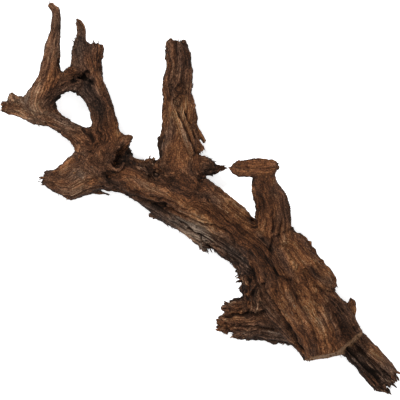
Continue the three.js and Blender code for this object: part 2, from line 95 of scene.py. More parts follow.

# %% [markdown]
# ## The limbs
# Each route is a list of stations, [x, y, z, half width, half depth] in plan millimetres, read
# from the photograph. They began as the CAD model's own stations. Tips and some widths
# were then fitted more closely, and small pieces were added that the CAD model leaves out: the
# splinter and the nub of the strand, and the last five limbs. A limb's number in this list also
# seeds its grain, so a new limb goes at the end.

# %% Routes of the limbs
LIMBS = {
    "trunk": [
        [-130, 48, 36, 21.5, 20], [-106, 36.5, 35, 24, 22], [-78, 26.5, 35, 23.5, 23],
        [-46.5, 18, 37, 24.5, 25], [-13, 6, 39, 26.5, 27], [20.5, -13, 41, 23, 27],
        [50.5, -35, 42, 20.5, 27], [77, -54.5, 41, 24.5, 28], [97.5, -79.5, 38, 32, 29],
        [112, -106, 33.5, 37.5, 30.5], [130, -131.5, 30.5, 36.5, 31.5],
        [147, -156.5, 29.5, 34.5, 31], [159, -180.5, 29.5, 32.5, 28.5], [170, -206, 30, 31.5, 27],
    ],
    "rightPlate": [
        [86, -43, 46, 12, 14], [108, -53.5, 48, 18, 16], [122.5, -68.5, 47, 17, 18],
        [138.5, -85.5, 45, 14, 18], [151, -97, 43, 12.5, 16], [156.5, -105, 42, 9.5, 12],
    ],
    "rightStrip": [
        [139, -103, 40, 11, 14], [155.5, -120.5, 38, 11.5, 18], [169.5, -137, 36, 13, 20],
        [180.5, -154, 34, 11.5, 20], [189, -168.5, 33, 10, 18], [195, -180.5, 33, 9, 17],
    ],
    "leftStrip": [
        [70, -116, 26, 12, 16], [87, -137.5, 24, 10.5, 17], [105, -158, 23, 8.5, 17],
        [120, -176, 24, 6.8, 17], [129.5, -190, 25, 5.6, 15], [136.5, -205, 25, 6, 13],
    ],
    "bay": [
        [74.5, -67.5, 30, 17, 20], [67.5, -89.5, 26, 18, 18], [65, -110, 24, 17, 17],
        [69, -130.5, 24, 18, 17],
    ],
    "rootTop": [
        [90.5, -127, 24, 14.5, 14], [70, -127, 22, 14.5, 13], [52, -128.5, 20, 13.5, 12],
        [37.5, -130, 19, 10.8, 10], [23, -133, 18, 7.5, 7],
    ],
    "rootMiddle": [
        [103, -147.5, 20, 14.5, 16], [78.5, -145, 18, 14.5, 15], [58, -145.5, 17, 14, 14],
        [41, -146.5, 16, 13.5, 13], [31, -150.5, 15, 11, 10], [25.5, -151, 14, 7.5, 7],
        [22.5, -150.5, 14, 3.5, 4],
    ],
    "rootLow": [
        [115, -165.5, 18, 11, 14], [94.5, -161, 16, 13.5, 13], [75, -157.5, 14, 12.5, 12],
        [58, -159, 13, 11.5, 11], [46, -161, 13, 8.5, 9], [40, -162.5, 13, 5, 6],
    ],
    "tailRidge": [
        [163, -142.5, 24, 9.5, 14], [183.5, -161.5, 22, 9.5, 13], [200.5, -177.5, 20, 9, 12],
        [216.5, -192.5, 18, 8, 11], [230, -205, 17, 6, 9], [238.5, -213, 16, 3, 5],
    ],
    "tailHollow": [
        [169.5, -163.5, 18, 11, 10], [189, -182, 14, 11, 9], [206, -197.5, 12, 11, 8],
        [221, -212.5, 11, 10.5, 7], [232, -222, 10, 7.5, 5], [235.5, -225.5, 10, 3.5, 3],
    ],
    "tailLow": [
        [171.5, -177.5, 20, 8.5, 12], [185.5, -190.5, 17, 8.2, 12], [197.5, -203, 15, 7, 11],
        [208.5, -216.5, 14, 7, 10], [218, -226.5, 13, 6, 8], [225.5, -231.5, 12, 3.5, 5],
    ],
    "thorn": [
        [179, -142, 36, 6.5, 8], [182, -129.5, 38, 6, 6], [182, -121, 40, 4, 4],
        [180.5, -117, 41, 1.5, 2],
    ],
    "strand": [
        [-77, 9, 31, 5, 9], [-64, -2.5, 30, 6.5, 11], [-48, -12.5, 28, 8.5, 13],
        [-26.5, -24, 27, 9, 15], [0, -40, 27, 10.4, 16], [30, -57, 28, 10.8, 17],
        [55.5, -76.5, 28, 11.5, 17], [70, -95.5, 27, 11.5, 15],
    ],
    "lowStrand": [
        [-51, -19.5, 20, 3.5, 6], [-30, -29.5, 19, 4.4, 7], [-11, -41, 18, 4.8, 7],
        [5, -52, 18, 5, 6], [14.5, -59.5, 18, 2.5, 4],
    ],
    "strandSplinter": [
        [-7, -47, 20, 3.4, 4], [3, -57.5, 19, 2.8, 3], [10, -67, 18, 1, 1.4],
    ],
    "strandNub": [
        [-2, -43, 21, 3.5, 4], [-5.5, -49, 19, 2.2, 2.5], [-6.5, -51, 18, 1, 1],
    ],
    "nub": [
        [-46, -14.5, 24, 5.5, 8], [-55.5, -18.5, 22, 4, 5], [-61, -23, 21, 3.2, 3],
    ],
    "tallBranch": [
        [-19, 12, 38, 21.5, 18], [-21.5, 33.5, 38, 24, 19], [-24, 51.5, 36, 24.5, 18],
        [-25, 68.5, 33, 25.5, 17], [-25.5, 87, 29, 22.5, 16], [-25, 103.5, 26, 22.5, 15.5],
        [-27, 121, 22, 19.5, 14.5], [-28, 138, 19, 19, 14], [-25.5, 155, 15, 17.5, 13.5],
        [-25.5, 170, 12.5, 16, 12.5], [-28, 182, 12, 14.5, 11.5], [-28.5, 191, 12, 12.5, 9],
        [-28, 196, 12, 10, 6],
    ],
    "splinterLong": [
        [-10, 112, 31, 3, 3], [-6.5, 100, 32, 3.4, 3], [-4.5, 87, 32, 3.2, 3],
        [1, 78, 31, 3.2, 3], [7.4, 67, 31, 2.8, 2.5],
    ],
    "splinterShort": [
        [-12, 93, 39, 3.5, 3], [-6, 77, 39, 3.4, 3], [0, 66.5, 37, 3.2, 3],
        [4.2, 57, 35, 2.8, 2.5],
    ],
    "spur": [
        [-19, 36, 34, 14.5, 14], [-1, 40, 34, 13.5, 12], [11, 40, 34, 9.5, 9],
        [20.5, 38.5, 34, 6, 5], [27.5, 38, 34, 3, 3], [33.5, 38.5, 34, 1, 1],
    ],
    "barkLump": [
        [-67, 31, 42, 11, 9], [-60, 42, 45, 8.5, 8], [-53, 52, 46, 6, 6],
    ],
    "knob": [
        [-103, 55, 42, 13, 15], [-95, 64, 43, 8.5, 10], [-88, 71.5, 44, 5.5, 6],
        [-82, 75.5, 44, 3.4, 3.5], [-78.5, 77, 44, 1.2, 1.2],
    ],
    "knobLow": [
        [-101, 48, 32, 14.5, 15], [-89, 57, 30, 7, 8], [-80, 60, 30, 3.5, 4],
    ],
    "stub": [
        [-94, 36, 34, 13, 13], [-110.5, 38, 35, 21, 18], [-127.5, 37.5, 33, 25.5, 20],
        [-142, 31.5, 28.5, 24.5, 18], [-156, 23.5, 20.5, 22.5, 17], [-168.5, 23, 13.5, 17.5, 15.5],
        [-180.5, 25, 11, 12, 13], [-188.5, 27, 10.5, 8.5, 9.5], [-193, 28, 11.5, 6, 6],
    ],
    "stubLow": [
        [-123, 20.5, 26, 9.5, 14], [-140, 15.5, 22, 10.5, 13], [-152, 10.5, 17, 10, 11],
        [-158.5, 6.5, 14, 8.6, 8], [-162, 5, 13, 5.6, 5],
    ],
    "stubSliver": [
        [-140.5, 12, 14, 5, 5], [-127, 9.5, 14, 3, 3.5], [-116.5, 8.5, 14, 2, 2],
        [-106.5, 5.5, 14, 0.5, 1],
    ],
    "antler": [
        [-113, 38.5, 36, 21.5, 20], [-115.5, 57.5, 38, 21.5, 20], [-114.5, 75.5, 40, 18, 17],
        [-115, 93.5, 42, 14.5, 14], [-119, 112, 44, 15.5, 13], [-126, 127, 46, 16.5, 13],
        [-132.5, 141, 47, 16, 13], [-135, 155.5, 48, 15, 12], [-136, 170, 48, 16.5, 10.5],
        [-136.5, 179.5, 47, 15.5, 9], [-136.5, 184, 46, 11, 6],
    ],
    "fingerMiddle": [
        [-140, 160.5, 48, 11, 9], [-143, 174.5, 49, 11, 8], [-142.5, 186.5, 50, 8.5, 7],
        [-142, 197, 51, 6, 6], [-142.5, 205.5, 52, 5.8, 5.5], [-146, 213, 53, 4.6, 4],
        [-150, 219.5, 53, 3, 2],
    ],
    "fingerRight": [
        [-127, 158, 49, 8, 9], [-124.5, 172, 50, 8, 8.5], [-122, 182, 51, 7.8, 8],
        [-121.5, 188.5, 52, 6, 5], [-121, 191.5, 52, 3, 2.5],
    ],
    "arm": [
        [-115.5, 53, 36, 18, 18], [-129.5, 65, 38, 15, 16], [-142.5, 75, 41, 12.5, 13],
        [-157, 84, 44, 10.5, 11.5], [-172.5, 93.5, 46, 10, 11], [-189, 101.5, 47, 10, 11],
        [-206, 107, 47, 11, 10.5], [-220.5, 110.5, 46, 11, 10], [-231, 110.5, 45, 8.6, 8],
        [-241.5, 110, 45, 3.6, 4],
    ],
    "armEar": [
        [-222, 113, 48, 8, 6], [-224, 121, 50, 7, 5], [-227, 126.5, 51, 4, 3],
    ],
    "fingerTall": [
        [-188, 99.5, 46, 13, 11], [-193.5, 112.5, 48, 16.5, 12], [-191.5, 123, 50, 16, 13],
        [-185, 135, 53, 15.5, 13], [-180, 146.5, 56, 13.5, 12], [-177.5, 159.5, 59, 12, 11],
        [-175.5, 172.5, 62, 10.5, 10], [-174, 184, 65, 9.5, 9], [-172, 196, 67, 8, 8],
        [-171, 207.5, 69, 7, 7], [-170.5, 218.5, 70, 6, 6], [-171.5, 225.5, 70, 5, 5],
        [-176, 231, 70, 4.4, 3.5], [-181.5, 236, 70, 2.4, 1.5],
    ],
    "fingerProng": [
        [-170.5, 218.5, 69, 3.5, 5], [-168.5, 224, 70, 2, 3], [-168, 228, 70, 1, 1],
    ],
    "fingerLedge": [
        [-196.5, 129.5, 46, 3.5, 6], [-190, 153, 50, 3, 6], [-185.5, 170.5, 54, 2.5, 5],
        [-182.5, 186, 58, 2, 4], [-178.5, 199, 60, 1, 2.5],
    ],
    "bridge": [
        [-187.5, 120.5, 50, 11, 11], [-177, 131.5, 52, 11, 11], [-167, 135.5, 52, 8.8, 11],
        [-157.5, 139.5, 51, 10, 11.5], [-147, 144.5, 49, 14.5, 11.5], [-135.5, 145, 46, 11.5, 9],
        [-126, 145, 45, 6.5, 6],
    ],
    "stem": [
        [95, -57.5, 40, 15.5, 11], [89.5, -43, 52, 18, 16], [88, -22.5, 62, 21.5, 17],
        [84.8, -3.5, 73, 20.8, 16], [78.3, 12, 87, 17.3, 15], [75.8, 23.5, 98, 14.3, 13],
        [75, 33, 106, 13.5, 11],
    ],
    "cap": [
        [34.5, 37, 104, 1, 1.5], [39, 37, 104, 6, 4], [45.5, 36.5, 105, 10, 8],
        [55, 36.5, 106, 11.5, 10.5], [65.5, 37.6, 107, 12.6, 11.5], [76, 37.5, 107, 12, 11.5],
        [82, 38, 106, 10, 10], [87.5, 38.5, 105, 5.5, 7],
    ],
    "plateFringe": [
        [107, -38, 44, 2, 4], [114.5, -40, 45, 3, 4.5], [122, -44, 46, 4, 4.5],
        [130, -52, 46, 4, 4.5], [135, -60, 45, 1.5, 2],
    ],
    "splinterTop": [
        [-31, 108, 41, 3, 2], [-23, 88, 47, 5, 3.4], [-16, 70, 50.5, 5.2, 3.4],
        [-9, 54, 51, 4.2, 3],
    ],
    "barkRope": [
        [-84, 44, 49, 4, 4], [-71, 38, 55, 5, 5], [-58, 29, 59, 4.6, 5], [-46, 21, 61, 3.6, 4],
        [-36, 18, 62, 2, 2],
    ],
    "barkFold": [
        [-60, 46, 48, 4, 4], [-52, 37, 55, 4.2, 4.6], [-42, 30, 59, 3.6, 4], [-33, 28, 60, 2, 2],
    ],
    "knotCurl": [
        [-108, 45, 58, 1.5, 1.5], [-105.5, 39, 60, 2, 2], [-100, 35, 61, 2.2, 2.2],
        [-94, 38, 60, 2, 2], [-91, 44, 58, 1.8, 1.8], [-93, 49, 57, 1, 1],
    ],
}
print(len(LIMBS), "limbs")

# %% [markdown]
# A limb's centre line is a Catmull-Rom curve: it passes through every station, and each span
# bends smoothly into the next. Rings are taken from it at even steps, each with a direction
# along the limb and two directions across it.

# %% Rings along a limb
RING_STEP = 7.0
SAMPLES_PER_STATION = 40
SLOPE_STEP = 1e-4
THINNEST = 0.4
ROLL = {"cap": math.radians(-30)}


def curve_points(stations, t):
    """Catmull-Rom: between p1 and p2 the cubic that has those ends, and there the slopes
    (p2 - p0) / 2 and (p3 - p1) / 2; past each end the row goes on in a straight line."""
    p = np.vstack([2 * stations[0] - stations[1], stations, 2 * stations[-1] - stations[-2]])
    place = np.clip(t, 0, 1) * (len(stations) - 1)
    i = np.minimum(place.astype(int), len(stations) - 2)
    w = (place - i)[:, None]
    p0, p1, p2, p3 = p[i], p[i + 1], p[i + 2], p[i + 3]
    m1, m2 = (p2 - p0) / 2, (p3 - p1) / 2
    return p1 + w * m1 + w**2 * (3 * (p2 - p1) - 2 * m1 - m2) + w**3 * (2 * (p1 - p2) + m1 + m2)


def unit(v):
    """Each vector over its own length."""
    return v / np.maximum(np.linalg.norm(v, axis=-1, keepdims=True), 1e-9)


def rings_of(name):
    """Rings at even arc length. `side` is along x Z, `rise` is side x along, both then turned
    about the limb by its roll."""
    stations = np.array(LIMBS[name], float)
    stations[:, :3] = from_plan(stations[:, :3])
    t = np.linspace(0, 1, SAMPLES_PER_STATION * len(stations))
    fine = curve_points(stations, t)
    travelled = np.concatenate(
        [[0], np.cumsum(np.linalg.norm(np.diff(fine[:, :3], axis=0), axis=1))])
    run = np.linspace(0, travelled[-1], max(4, round(travelled[-1] / RING_STEP)) + 1)
    t = np.interp(run, travelled, t)
    ring = curve_points(stations, t)
    ahead = curve_points(stations, t + SLOPE_STEP)
    behind = curve_points(stations, t - SLOPE_STEP)
    along = unit(ahead[:, :3] - behind[:, :3])
    side = unit(np.cross(along, [0, 0, 1]))
    rise = np.cross(side, along)
    roll = ROLL.get(name, 0)
    side, rise = (side * math.cos(roll) + np.cross(along, side) * math.sin(roll),
                  rise * math.cos(roll) + np.cross(along, rise) * math.sin(roll))
    half = np.maximum(ring[:, 3:5], THINNEST)
    return {"centre": ring[:, :3], "side": side, "rise": rise, "half": half, "run": run}


RINGS = {name: rings_of(name) for name in LIMBS}
print("rings", sum(len(r["run"]) for r in RINGS.values()),
      "in", round(sum(r["run"][-1] for r in RINGS.values()) / 1000, 2), "m of limb")

# %% [markdown]
# ## From limbs to one body
# Joined tubes meet in hard creases, and wood never does. So each limb is given a distance field
# instead: a number at each point of space that is negative inside the limb and positive outside.
# Two fields are joined with a smooth minimum, which fills the corner between them, as growth
# does where a branch leaves a trunk. The skin is where the joined field is zero.

# %% Distance to one span of a limb
TIP_DOME = 0.5


def section_at(offset, rings, k):
    """For points at `offset` from ring k: how far they are from the skin between rings k and
    k + 1, their place x, y in the section, and the run along the limb. The section is an
    ellipse, and the distance to it is q (q - 1) / |grad q| with q its scaled radius. Past a
    span's end the ellipse closes as a dome, which is half as high at the limb's own tips."""
    dot = lambda v: offset[0] * v[0] + offset[1] * v[1] + offset[2] * v[2]
    step = rings["centre"][k + 1] - rings["centre"][k]
    long = np.linalg.norm(step)
    free = dot(step) / long**2
    t = np.clip(free, 0, 1)
    across = []
    for axis in ("side", "rise"):
        a, b = rings[axis][k], rings[axis][k + 1]
        across.append((1 - t) * (dot(a) - t * (step @ a)) + t * (dot(b) - t * (step @ b)))
    (w0, d0), (w1, d1) = rings["half"][k], rings["half"][k + 1]
    w, d = w0 + t * (w1 - w0), d0 + t * (d1 - d0)
    at_tip = (k == 0) * (free < 0) + (k == len(rings["run"]) - 2) * (free > 1)
    dome = np.minimum(w, d) * np.where(at_tip, TIP_DOME, 1.0)
    past = (free - t) * long
    x, y = across
    q = np.sqrt((x / w) ** 2 + (y / d) ** 2 + (past / dome) ** 2)
    slope = np.sqrt((x / w**2) ** 2 + (y / d**2) ** 2 + (past / dome**2) ** 2)
    distance = q * (q - 1) / np.maximum(slope, 1e-3)
    run = rings["run"][k] + t * (rings["run"][k + 1] - rings["run"][k]) + past
    return distance, x, y, run


probe = section_at([0, 0, 10], RINGS["trunk"], 4)[0]
print("10 mm above the trunk's middle line the field is", round(float(probe), 1), "mm")

# %% [markdown]
# Main limbs melt into each other over 14 mm. Pieces that split from a limb as it dried keep a
# sharp crack beside it, so they blend over a few millimetres only. The slab and the cap of the
# stem were sawn, so their fields are cut off by planes. Other limbs broke, and their fibres
# gave way at different places, so noise across the section says how far each fibre reaches. A
# torn end has two numbers: how far back the break goes, and how wide a bundle of fibres is. A
# saw cut is a point on its plane and the way the plane faces.

# %% How each limb joins the others, and how it ends
MAIN_BLEND = 14.0
BLEND = {
    "lowStrand": 4, "leftStrip": 3, "rightStrip": 3, "rightPlate": 4,
    "tailRidge": 3, "tailHollow": 2.5, "tailLow": 2.5, "rootTop": 3, "rootMiddle": 4,
    "rootLow": 3, "splinterLong": 1.2, "splinterShort": 1.2, "stubSliver": 2, "stubLow": 4,
    "fingerLedge": 2.5, "fingerProng": 3, "fingerRight": 5, "fingerMiddle": 6, "knob": 4,
    "knobLow": 5, "barkLump": 5, "nub": 4, "thorn": 5, "armEar": 5, "bay": 6, "cap": 3,
    "spur": 4, "plateFringe": 2.5, "splinterTop": 1.5,
    "barkRope": 2.5, "barkFold": 2.5, "knotCurl": 1.2, "strandSplinter": 1.5, "strandNub": 2,
}
SAW_CUTS = {
    "trunk": [([144, -191, 25], [0.2, -0.96, 0.16]), ([181, -176, 25], [0.62, -0.74, 0.22])],
    "leftStrip": [([144, -190, 25], [0.2, -0.96, 0.12])],
    "rightStrip": [([182, -175, 25], [0.62, -0.74, 0.22])],
    "cap": [([67, 38, 111], [0, 0.5, 0.87])],
}
TORN_END = {
    "tailRidge": (8, 3), "tailHollow": (19, 3), "tailLow": (12, 3), "rootTop": (14, 5),
    "rootMiddle": (13, 5.5), "rootLow": (15, 5), "stub": (5, 3), "tallBranch": (3.5, 5),
    "fingerTall": (6, 3), "fingerMiddle": (8, 3), "fingerRight": (7, 3), "arm": (5, 3),
    "lowStrand": (14, 2.5), "splinterLong": (3, 2.5), "splinterShort": (3, 2.5), "knob": (3, 2.5),
    "knobLow": (5, 3), "barkLump": (6, 3), "nub": (4, 2.5), "stubLow": (5, 3),
    "strandSplinter": (7, 1.8),
}
print(len(BLEND), "seams of their own,", len(TORN_END), "torn ends,", len(SAW_CUTS), "sawn limbs")


# %% Helpers for cuts and seams
def turned(direction):
    """A plan direction in the model: the turn without the shift."""
    return from_plan(np.array(direction, float) + ORIGIN_IN_PLAN)


def smooth_min(a, b, reach):
    """The lower of two fields, less (1 - |a - b| / reach)^2 reach / 4 where they are close."""
    near = np.maximum(reach - np.abs(a - b), 0) / reach
    return np.minimum(a, b) - near**2 * reach / 4


print("the slab's end faces", unit(turned(SAW_CUTS["trunk"][0][1])).round(2))

# %% [markdown]
# Wood is never quite regular. One repeatable noise, the same as the CAD model's, makes every
# roughness from here on.

# %% Noise
def lattice(i, j, k):
    """A repeatable height between 0 and 1 for whole numbers: the fraction of a large sine."""
    s = np.sin(i * 127.1 + j * 311.7 + k * 74.7) * 43758.5453
    return s - np.floor(s)


def noise(x, y, z):
    """Smooth noise from -1 to 1: the heights of the eight corners round a point, blended with
    3 t^2 - 2 t^3 along each axis."""
    x, y, z = np.broadcast_arrays(x, y, z)
    i, j, k = np.floor(x), np.floor(y), np.floor(z)
    u, v, w = (t * t * (3 - 2 * t) for t in (x - i, y - j, z - k))
    total = 0
    for a, b, c in np.ndindex(2, 2, 2):
        weight = (u if a else 1 - u) * (v if b else 1 - v) * (w if c else 1 - w)
        total = total + weight * lattice(i + a, j + b, k + c)
    return 2 * total - 1


print("noise at three places", noise(np.array([0.2, 1.5, 2.8]), 0.5, 0.5).round(2))

# %% [markdown]
# The whole field lives on one grid with cells of 1.2 mm, a compromise between the finest cracks
# and the time it takes. Each limb is worked out only in the box that holds it.

# %% The grid
CELL = 1.2
MARGIN = 8.0
FAR = 40.0
low = np.array(CAD_BOX[0]) / MM - MARGIN
high = np.array(CAD_BOX[1]) / MM + MARGIN
AXES = [np.arange(a, b, CELL) for a, b in zip(low, high)]


def block(lowest, highest):
    """The part of the grid between two corners, as slices."""
    return tuple(slice(max(0, int((a - o) / CELL)), min(len(axis), int((b - o) / CELL) + 2))
                 for a, b, o, axis in zip(lowest, highest, low, AXES))


def offsets(cut, centre):
    """Coordinates of a block's cells less a centre, as three arrays that broadcast."""
    x, y, z = (axis[c] - o for axis, c, o in zip(AXES, cut, centre))
    return x[:, None, None], y[None, :, None], z[None, None, :]


print("grid of", [len(axis) for axis in AXES], "cells of", CELL, "mm")

# %% Fill the grid with the joined field
TORN_MEAN = 0.6
TORN_SPREAD = 0.8
TORN_RUN = 40
TORN_SLOPE = 0.7
SPARE = 4


def torn_off(distance, x, y, run, length, torn, fibre):
    """The field cut back where fibres broke: each one ends at the limb's length less
    torn * (mean - spread * noise), and the noise changes from bundle to bundle."""
    bundle = noise(x / fibre, y / fibre, run / TORN_RUN)
    end = length - torn * (TORN_MEAN - TORN_SPREAD * bundle)
    return np.maximum(distance, TORN_SLOPE * (run - end))


def joined_field():
    """Lays the limbs into the grid one after another with the smooth minimum."""
    field = np.full([len(axis) for axis in AXES], FAR, np.float32)
    for name, rings in RINGS.items():
        reach = BLEND.get(name, MAIN_BLEND)
        length = rings["run"][-1]
        torn, fibre = TORN_END.get(name, (0, 1))
        torn_zone = 1.5 * torn + RING_STEP + 2
        widest = rings["half"].max(axis=1) + reach + SPARE
        whole = block((rings["centre"] - widest[:, None]).min(axis=0),
                      (rings["centre"] + widest[:, None]).max(axis=0))
        limb = np.full(field[whole].shape, FAR, np.float32)
        for k in range(len(rings["run"]) - 1):
            pair, room = rings["centre"][k:k + 2], widest[k:k + 2].max()
            cut = block(pair.min(axis=0) - room, pair.max(axis=0) + room)
            cells = tuple(slice(max(c.start, w.start), min(c.stop, w.stop))
                          for c, w in zip(cut, whole))
            inner = tuple(slice(c.start - w.start, c.stop - w.start)
                          for c, w in zip(cells, whole))
            distance, x, y, run = section_at(offsets(cells, pair[0]), rings, k)
            if torn and length - rings["run"][k] < torn_zone:
                distance = torn_off(distance, x, y, run, length, torn, fibre)
            limb[inner] = np.minimum(limb[inner], distance)
        for at, facing in SAW_CUTS.get(name, []):
            facing = unit(turned(facing))
            x, y, z = offsets(whole, from_plan(at))
            limb = np.maximum(limb, x * facing[0] + y * facing[1] + z * facing[2])
        field[whole] = smooth_min(field[whole], limb, reach)
    return field


field = joined_field()
print("cells inside", int((field < 0).sum()))

# %% [markdown]
# Pits, eyes of knots and rotted hollows are carved from the field as bowls, each set on the top
# skin at a place read from the photograph. A bowl is an ellipsoid, and noise makes its rim
# ragged. The numbers are its place, half length, half width, heading in degrees and depth.

# %% Carve the hollows
HOLLOWS = {
    "pit by the knob": ([-95, 55], 11, 7, 60, 11),
    "eye of the knot": ([-101, 42], 4.5, 3, 20, 6),
    "second eye of the knot": ([-106, 29.5], 9, 3.5, 15, 7),
    "bark pit": ([-54, 27], 9, 4.5, 40, 9),
    "second bark pit": ([-70, 44], 6, 3.5, -40, 7),
    "hollow under the spur": ([4.5, 24], 8, 5, -20, 13),
    "notch by the stem": ([62.5, -19], 8, 3, 100, 45),
    "gap of the strand": ([14.5, -57], 8, 1.6, -48, 40),
    "crevice over the ring": ([-139, 147], 9, 4, 25, 7),
    "upper eye of the tall branch": ([-33, 143], 5.5, 2.6, 75, 5),
    "middle eye of the tall branch": ([-24, 136], 4, 2.8, 30, 5),
    "right eye of the tall branch": ([-17, 131], 3.5, 2.5, 80, 4),
    "lower eye of the tall branch": ([-27, 120], 4.5, 2.6, 70, 5),
    "dip of the slab": ([130, -93], 10, 4, -50, 3.4),
    "small hole of the plate": ([130, -53], 2.8, 2.0, 0, 4),
}
CARVE_BLEND = 4.0
RAGGED = {"size": 3.5, "most": 0.55}


def top_height(field, x, y):
    """Height of the highest cell inside the wood above one place of the ground."""
    i, j = int((x - low[0]) / CELL), int((y - low[1]) / CELL)
    return AXES[2][np.nonzero(field[i, j] < 0)[0].max()]


for place, long, wide, heading, depth in HOLLOWS.values():
    x, y, _ = from_plan([*place, 0])
    centre = np.array([x, y, top_height(field, x, y)])
    cut = block(centre - 2 * long, centre + 2 * long)
    ox, oy, oz = offsets(cut, centre)
    heading = math.radians(heading) + LONG_AXIS_TURN
    u = ox * math.cos(heading) + oy * math.sin(heading)
    v = oy * math.cos(heading) - ox * math.sin(heading)
    at = [(o + c) / RAGGED["size"] for o, c in zip((ox, oy, oz), centre)]
    ragged = RAGGED["most"] * noise(*at)
    bowl = (np.sqrt((u / long) ** 2 + (v / wide) ** 2 + (oz / depth) ** 2) - 1 + ragged) * wide
    field[cut] = -smooth_min(-field[cut], bowl, CARVE_BLEND)
field = np.maximum(field, -(AXES[2])[None, None, :])
print(len(HOLLOWS), "hollows carved, underside trimmed at 0")

# %% [markdown]
# The zero level of the field is turned into a mesh of small squares. They look outwards, to the
# side where the field is positive.

# %% The smooth body
grid = openvdb.FloatGrid()
grid.copyFromArray(field.astype(np.float32))
base, quads = grid.convertToQuads(0.0)
base = base.astype(float) * CELL + low
print(len(base), "points,", len(quads), "faces")

# %% [markdown]
# ## Grain
# Every point of the skin needs to know where it lies in its limb: its place x, y in the section
# and its run along the limb. Those three numbers are the grain coordinates. A pattern that is
# narrow in x, y and long in the run is grain, on any limb, however it bends. Near a joint a
# point keeps the coordinates of its two nearest limbs, and patterns fade from one to the other.

# %% Grain coordinates of every point
TWIST = {"trunk": 0.002, "tallBranch": 0.006, "fingerTall": -0.004, "stem": 0.003, "arm": -0.004}
SEARCH = 12.0


def grain_of(points):
    """For the nearest and the next limb of each point: distance, x, y, run, size and number."""
    nearest = np.full((len(points), 6), FAR)
    second = nearest.copy()
    for number, (name, rings) in enumerate(RINGS.items()):
        room = rings["half"].max() + SEARCH
        close = np.nonzero(((points > rings["centre"].min(axis=0) - room)
                            & (points < rings["centre"].max(axis=0) + room)).all(axis=1))[0]
        found = np.full((len(close), 6), FAR)
        for k in range(len(rings["run"]) - 1):
            here = np.nonzero(np.linalg.norm(points[close] - rings["centre"][k], axis=1)
                              < rings["half"][k:k + 2].max() + SEARCH + RING_STEP)[0]
            offset = (points[close[here]] - rings["centre"][k]).T
            distance, x, y, run = section_at(offset, rings, k)
            turn = TWIST.get(name, 0) * run
            size = np.full(len(here), rings["half"][k].min())
            row = np.stack([distance, x * np.cos(turn) - y * np.sin(turn),
                            x * np.sin(turn) + y * np.cos(turn), run, size,
                            np.full(len(here), number)], axis=1)
            better = distance < found[here, 0]
            found[here[better]] = row[better]
        first = found[:, 0] < nearest[close, 0]
        rest = ~first & (found[:, 0] < second[close, 0])
        second[close[first]] = nearest[close[first]]
        nearest[close[first]] = found[first]
        second[close[rest]] = found[rest]
    alone = second[:, 0] >= FAR
    second[alone] = nearest[alone]
    return nearest, second


CROSSFADE = 4.0
nearest, second = grain_of(base)
share = 0.5 * np.clip(1 - (second[:, 0] - nearest[:, 0]) / CROSSFADE, 0, 1)
print("points near a joint", int((share > 0).sum()), "of", len(share))

# %% [markdown]
# Flutes, ridges and swellings come from the CAD model's own formulas. Finer wood goes on top:
# overlapping plates, wandering cracks where the wood dried and split, and fibres a few
# millimetres wide. A layer's width and run are the size of its pattern in millimetres, across
# and along the grain. Its height is a share of the limb's half thickness, up to a limit.

# %% Layers of the relief
FLUTE = {"width": 14, "run": 90, "share": 0.13, "most": 3.4}
RIDGE = {"width": 7, "run": 45, "share": 0.07, "most": 1.8}
SWELL = {"run": 30, "share": 0.05}
LEDGE = {"width": 11, "run": 60, "steps": 3, "most": 1.5}
CRACK = {"width": 8.0, "run": 90, "share": 0.2, "most": 3.8, "opening": 0.26}
SPLIT = {"width": 4.4, "run": 60, "share": 0.13, "most": 2.2, "opening": 0.33}
FIBRE = {"width": 2.7, "run": 36, "most": 0.9}
WANDER = {"size": 28, "x": 8.0, "y": 2.5, "run": 8.0}
CURL = {"size": 10, "x": 1.5, "y": 0.3, "run": 0.0}
BURL = 3.5
LUMP = {"size": 8, "most": 1.2}
CRUMB = {"size": 3.4, "most": 0.8}
CRACKED = {"width": 24, "run": 60, "mean": 0.6, "spread": 0.9, "least": 0.2}
print("layers up to", FLUTE["most"], "mm high and", CRACK["most"], "mm deep")

# %% [markdown]
# Limbs differ: bark is lumpy, a split strand is streaked, an old stub is smooth. LOOK says how
# lumpy, how streaked and how wavy the wood of each limb is, and 1 is usual. Calm places are worn
# smooth round old knots. There the streaks fade and the grain curls finely, as in burl wood.

# %% How the wood of each limb looks
LOOK = {
    "trunk": (0.8, 0.75, 1.0), "rightPlate": (0.6, 1.2, 0.7), "rightStrip": (0.4, 1.2, 0.3),
    "leftStrip": (0.6, 2.0, 0.4), "bay": (2.3, 2.2, 1.5), "rootTop": (2.0, 1.5, 1.2),
    "rootMiddle": (2.1, 1.4, 1.2), "rootLow": (1.4, 1.0, 0.8), "tailRidge": (0.3, 1.0, 0.2),
    "tailHollow": (0.4, 2.9, 0.2), "tailLow": (0.5, 1.9, 0.2), "thorn": (0.6, 1.2, 0.5),
    "strand": (0.7, 1.9, 0.3), "lowStrand": (0.8, 2.6, 0.3), "nub": (1.5, 1.5, 1.0),
    "tallBranch": (0.9, 1.1, 0.6), "splinterLong": (0.4, 1.6, 0.3), "spur": (1.2, 1.5, 0.8),
    "splinterShort": (0.4, 1.6, 0.3), "splinterTop": (0.5, 1.6, 0.3),
    "barkLump": (4.0, 2.0, 1.5), "barkRope": (3.2, 2.4, 1.5), "barkFold": (3.2, 2.4, 1.5),
    "plateFringe": (3.0, 1.8, 1.0), "knotCurl": (1.2, 1.2, 0.5), "knob": (1.0, 1.3, 1.0),
    "knobLow": (2.2, 1.5, 1.2), "stub": (0.4, 1.1, 0.6), "stubLow": (0.7, 1.4, 0.6),
    "antler": (0.7, 0.8, 1.2), "fingerMiddle": (0.8, 1.3, 0.5), "fingerRight": (1.3, 1.7, 0.5),
    "arm": (1.0, 1.3, 0.6), "armEar": (1.2, 1.6, 0.6), "fingerTall": (0.5, 0.9, 0.5),
    "bridge": (2.2, 1.4, 0.9), "stem": (0.2, 0.35, 0.3), "cap": (0.7, 0.15, 0.5),
}
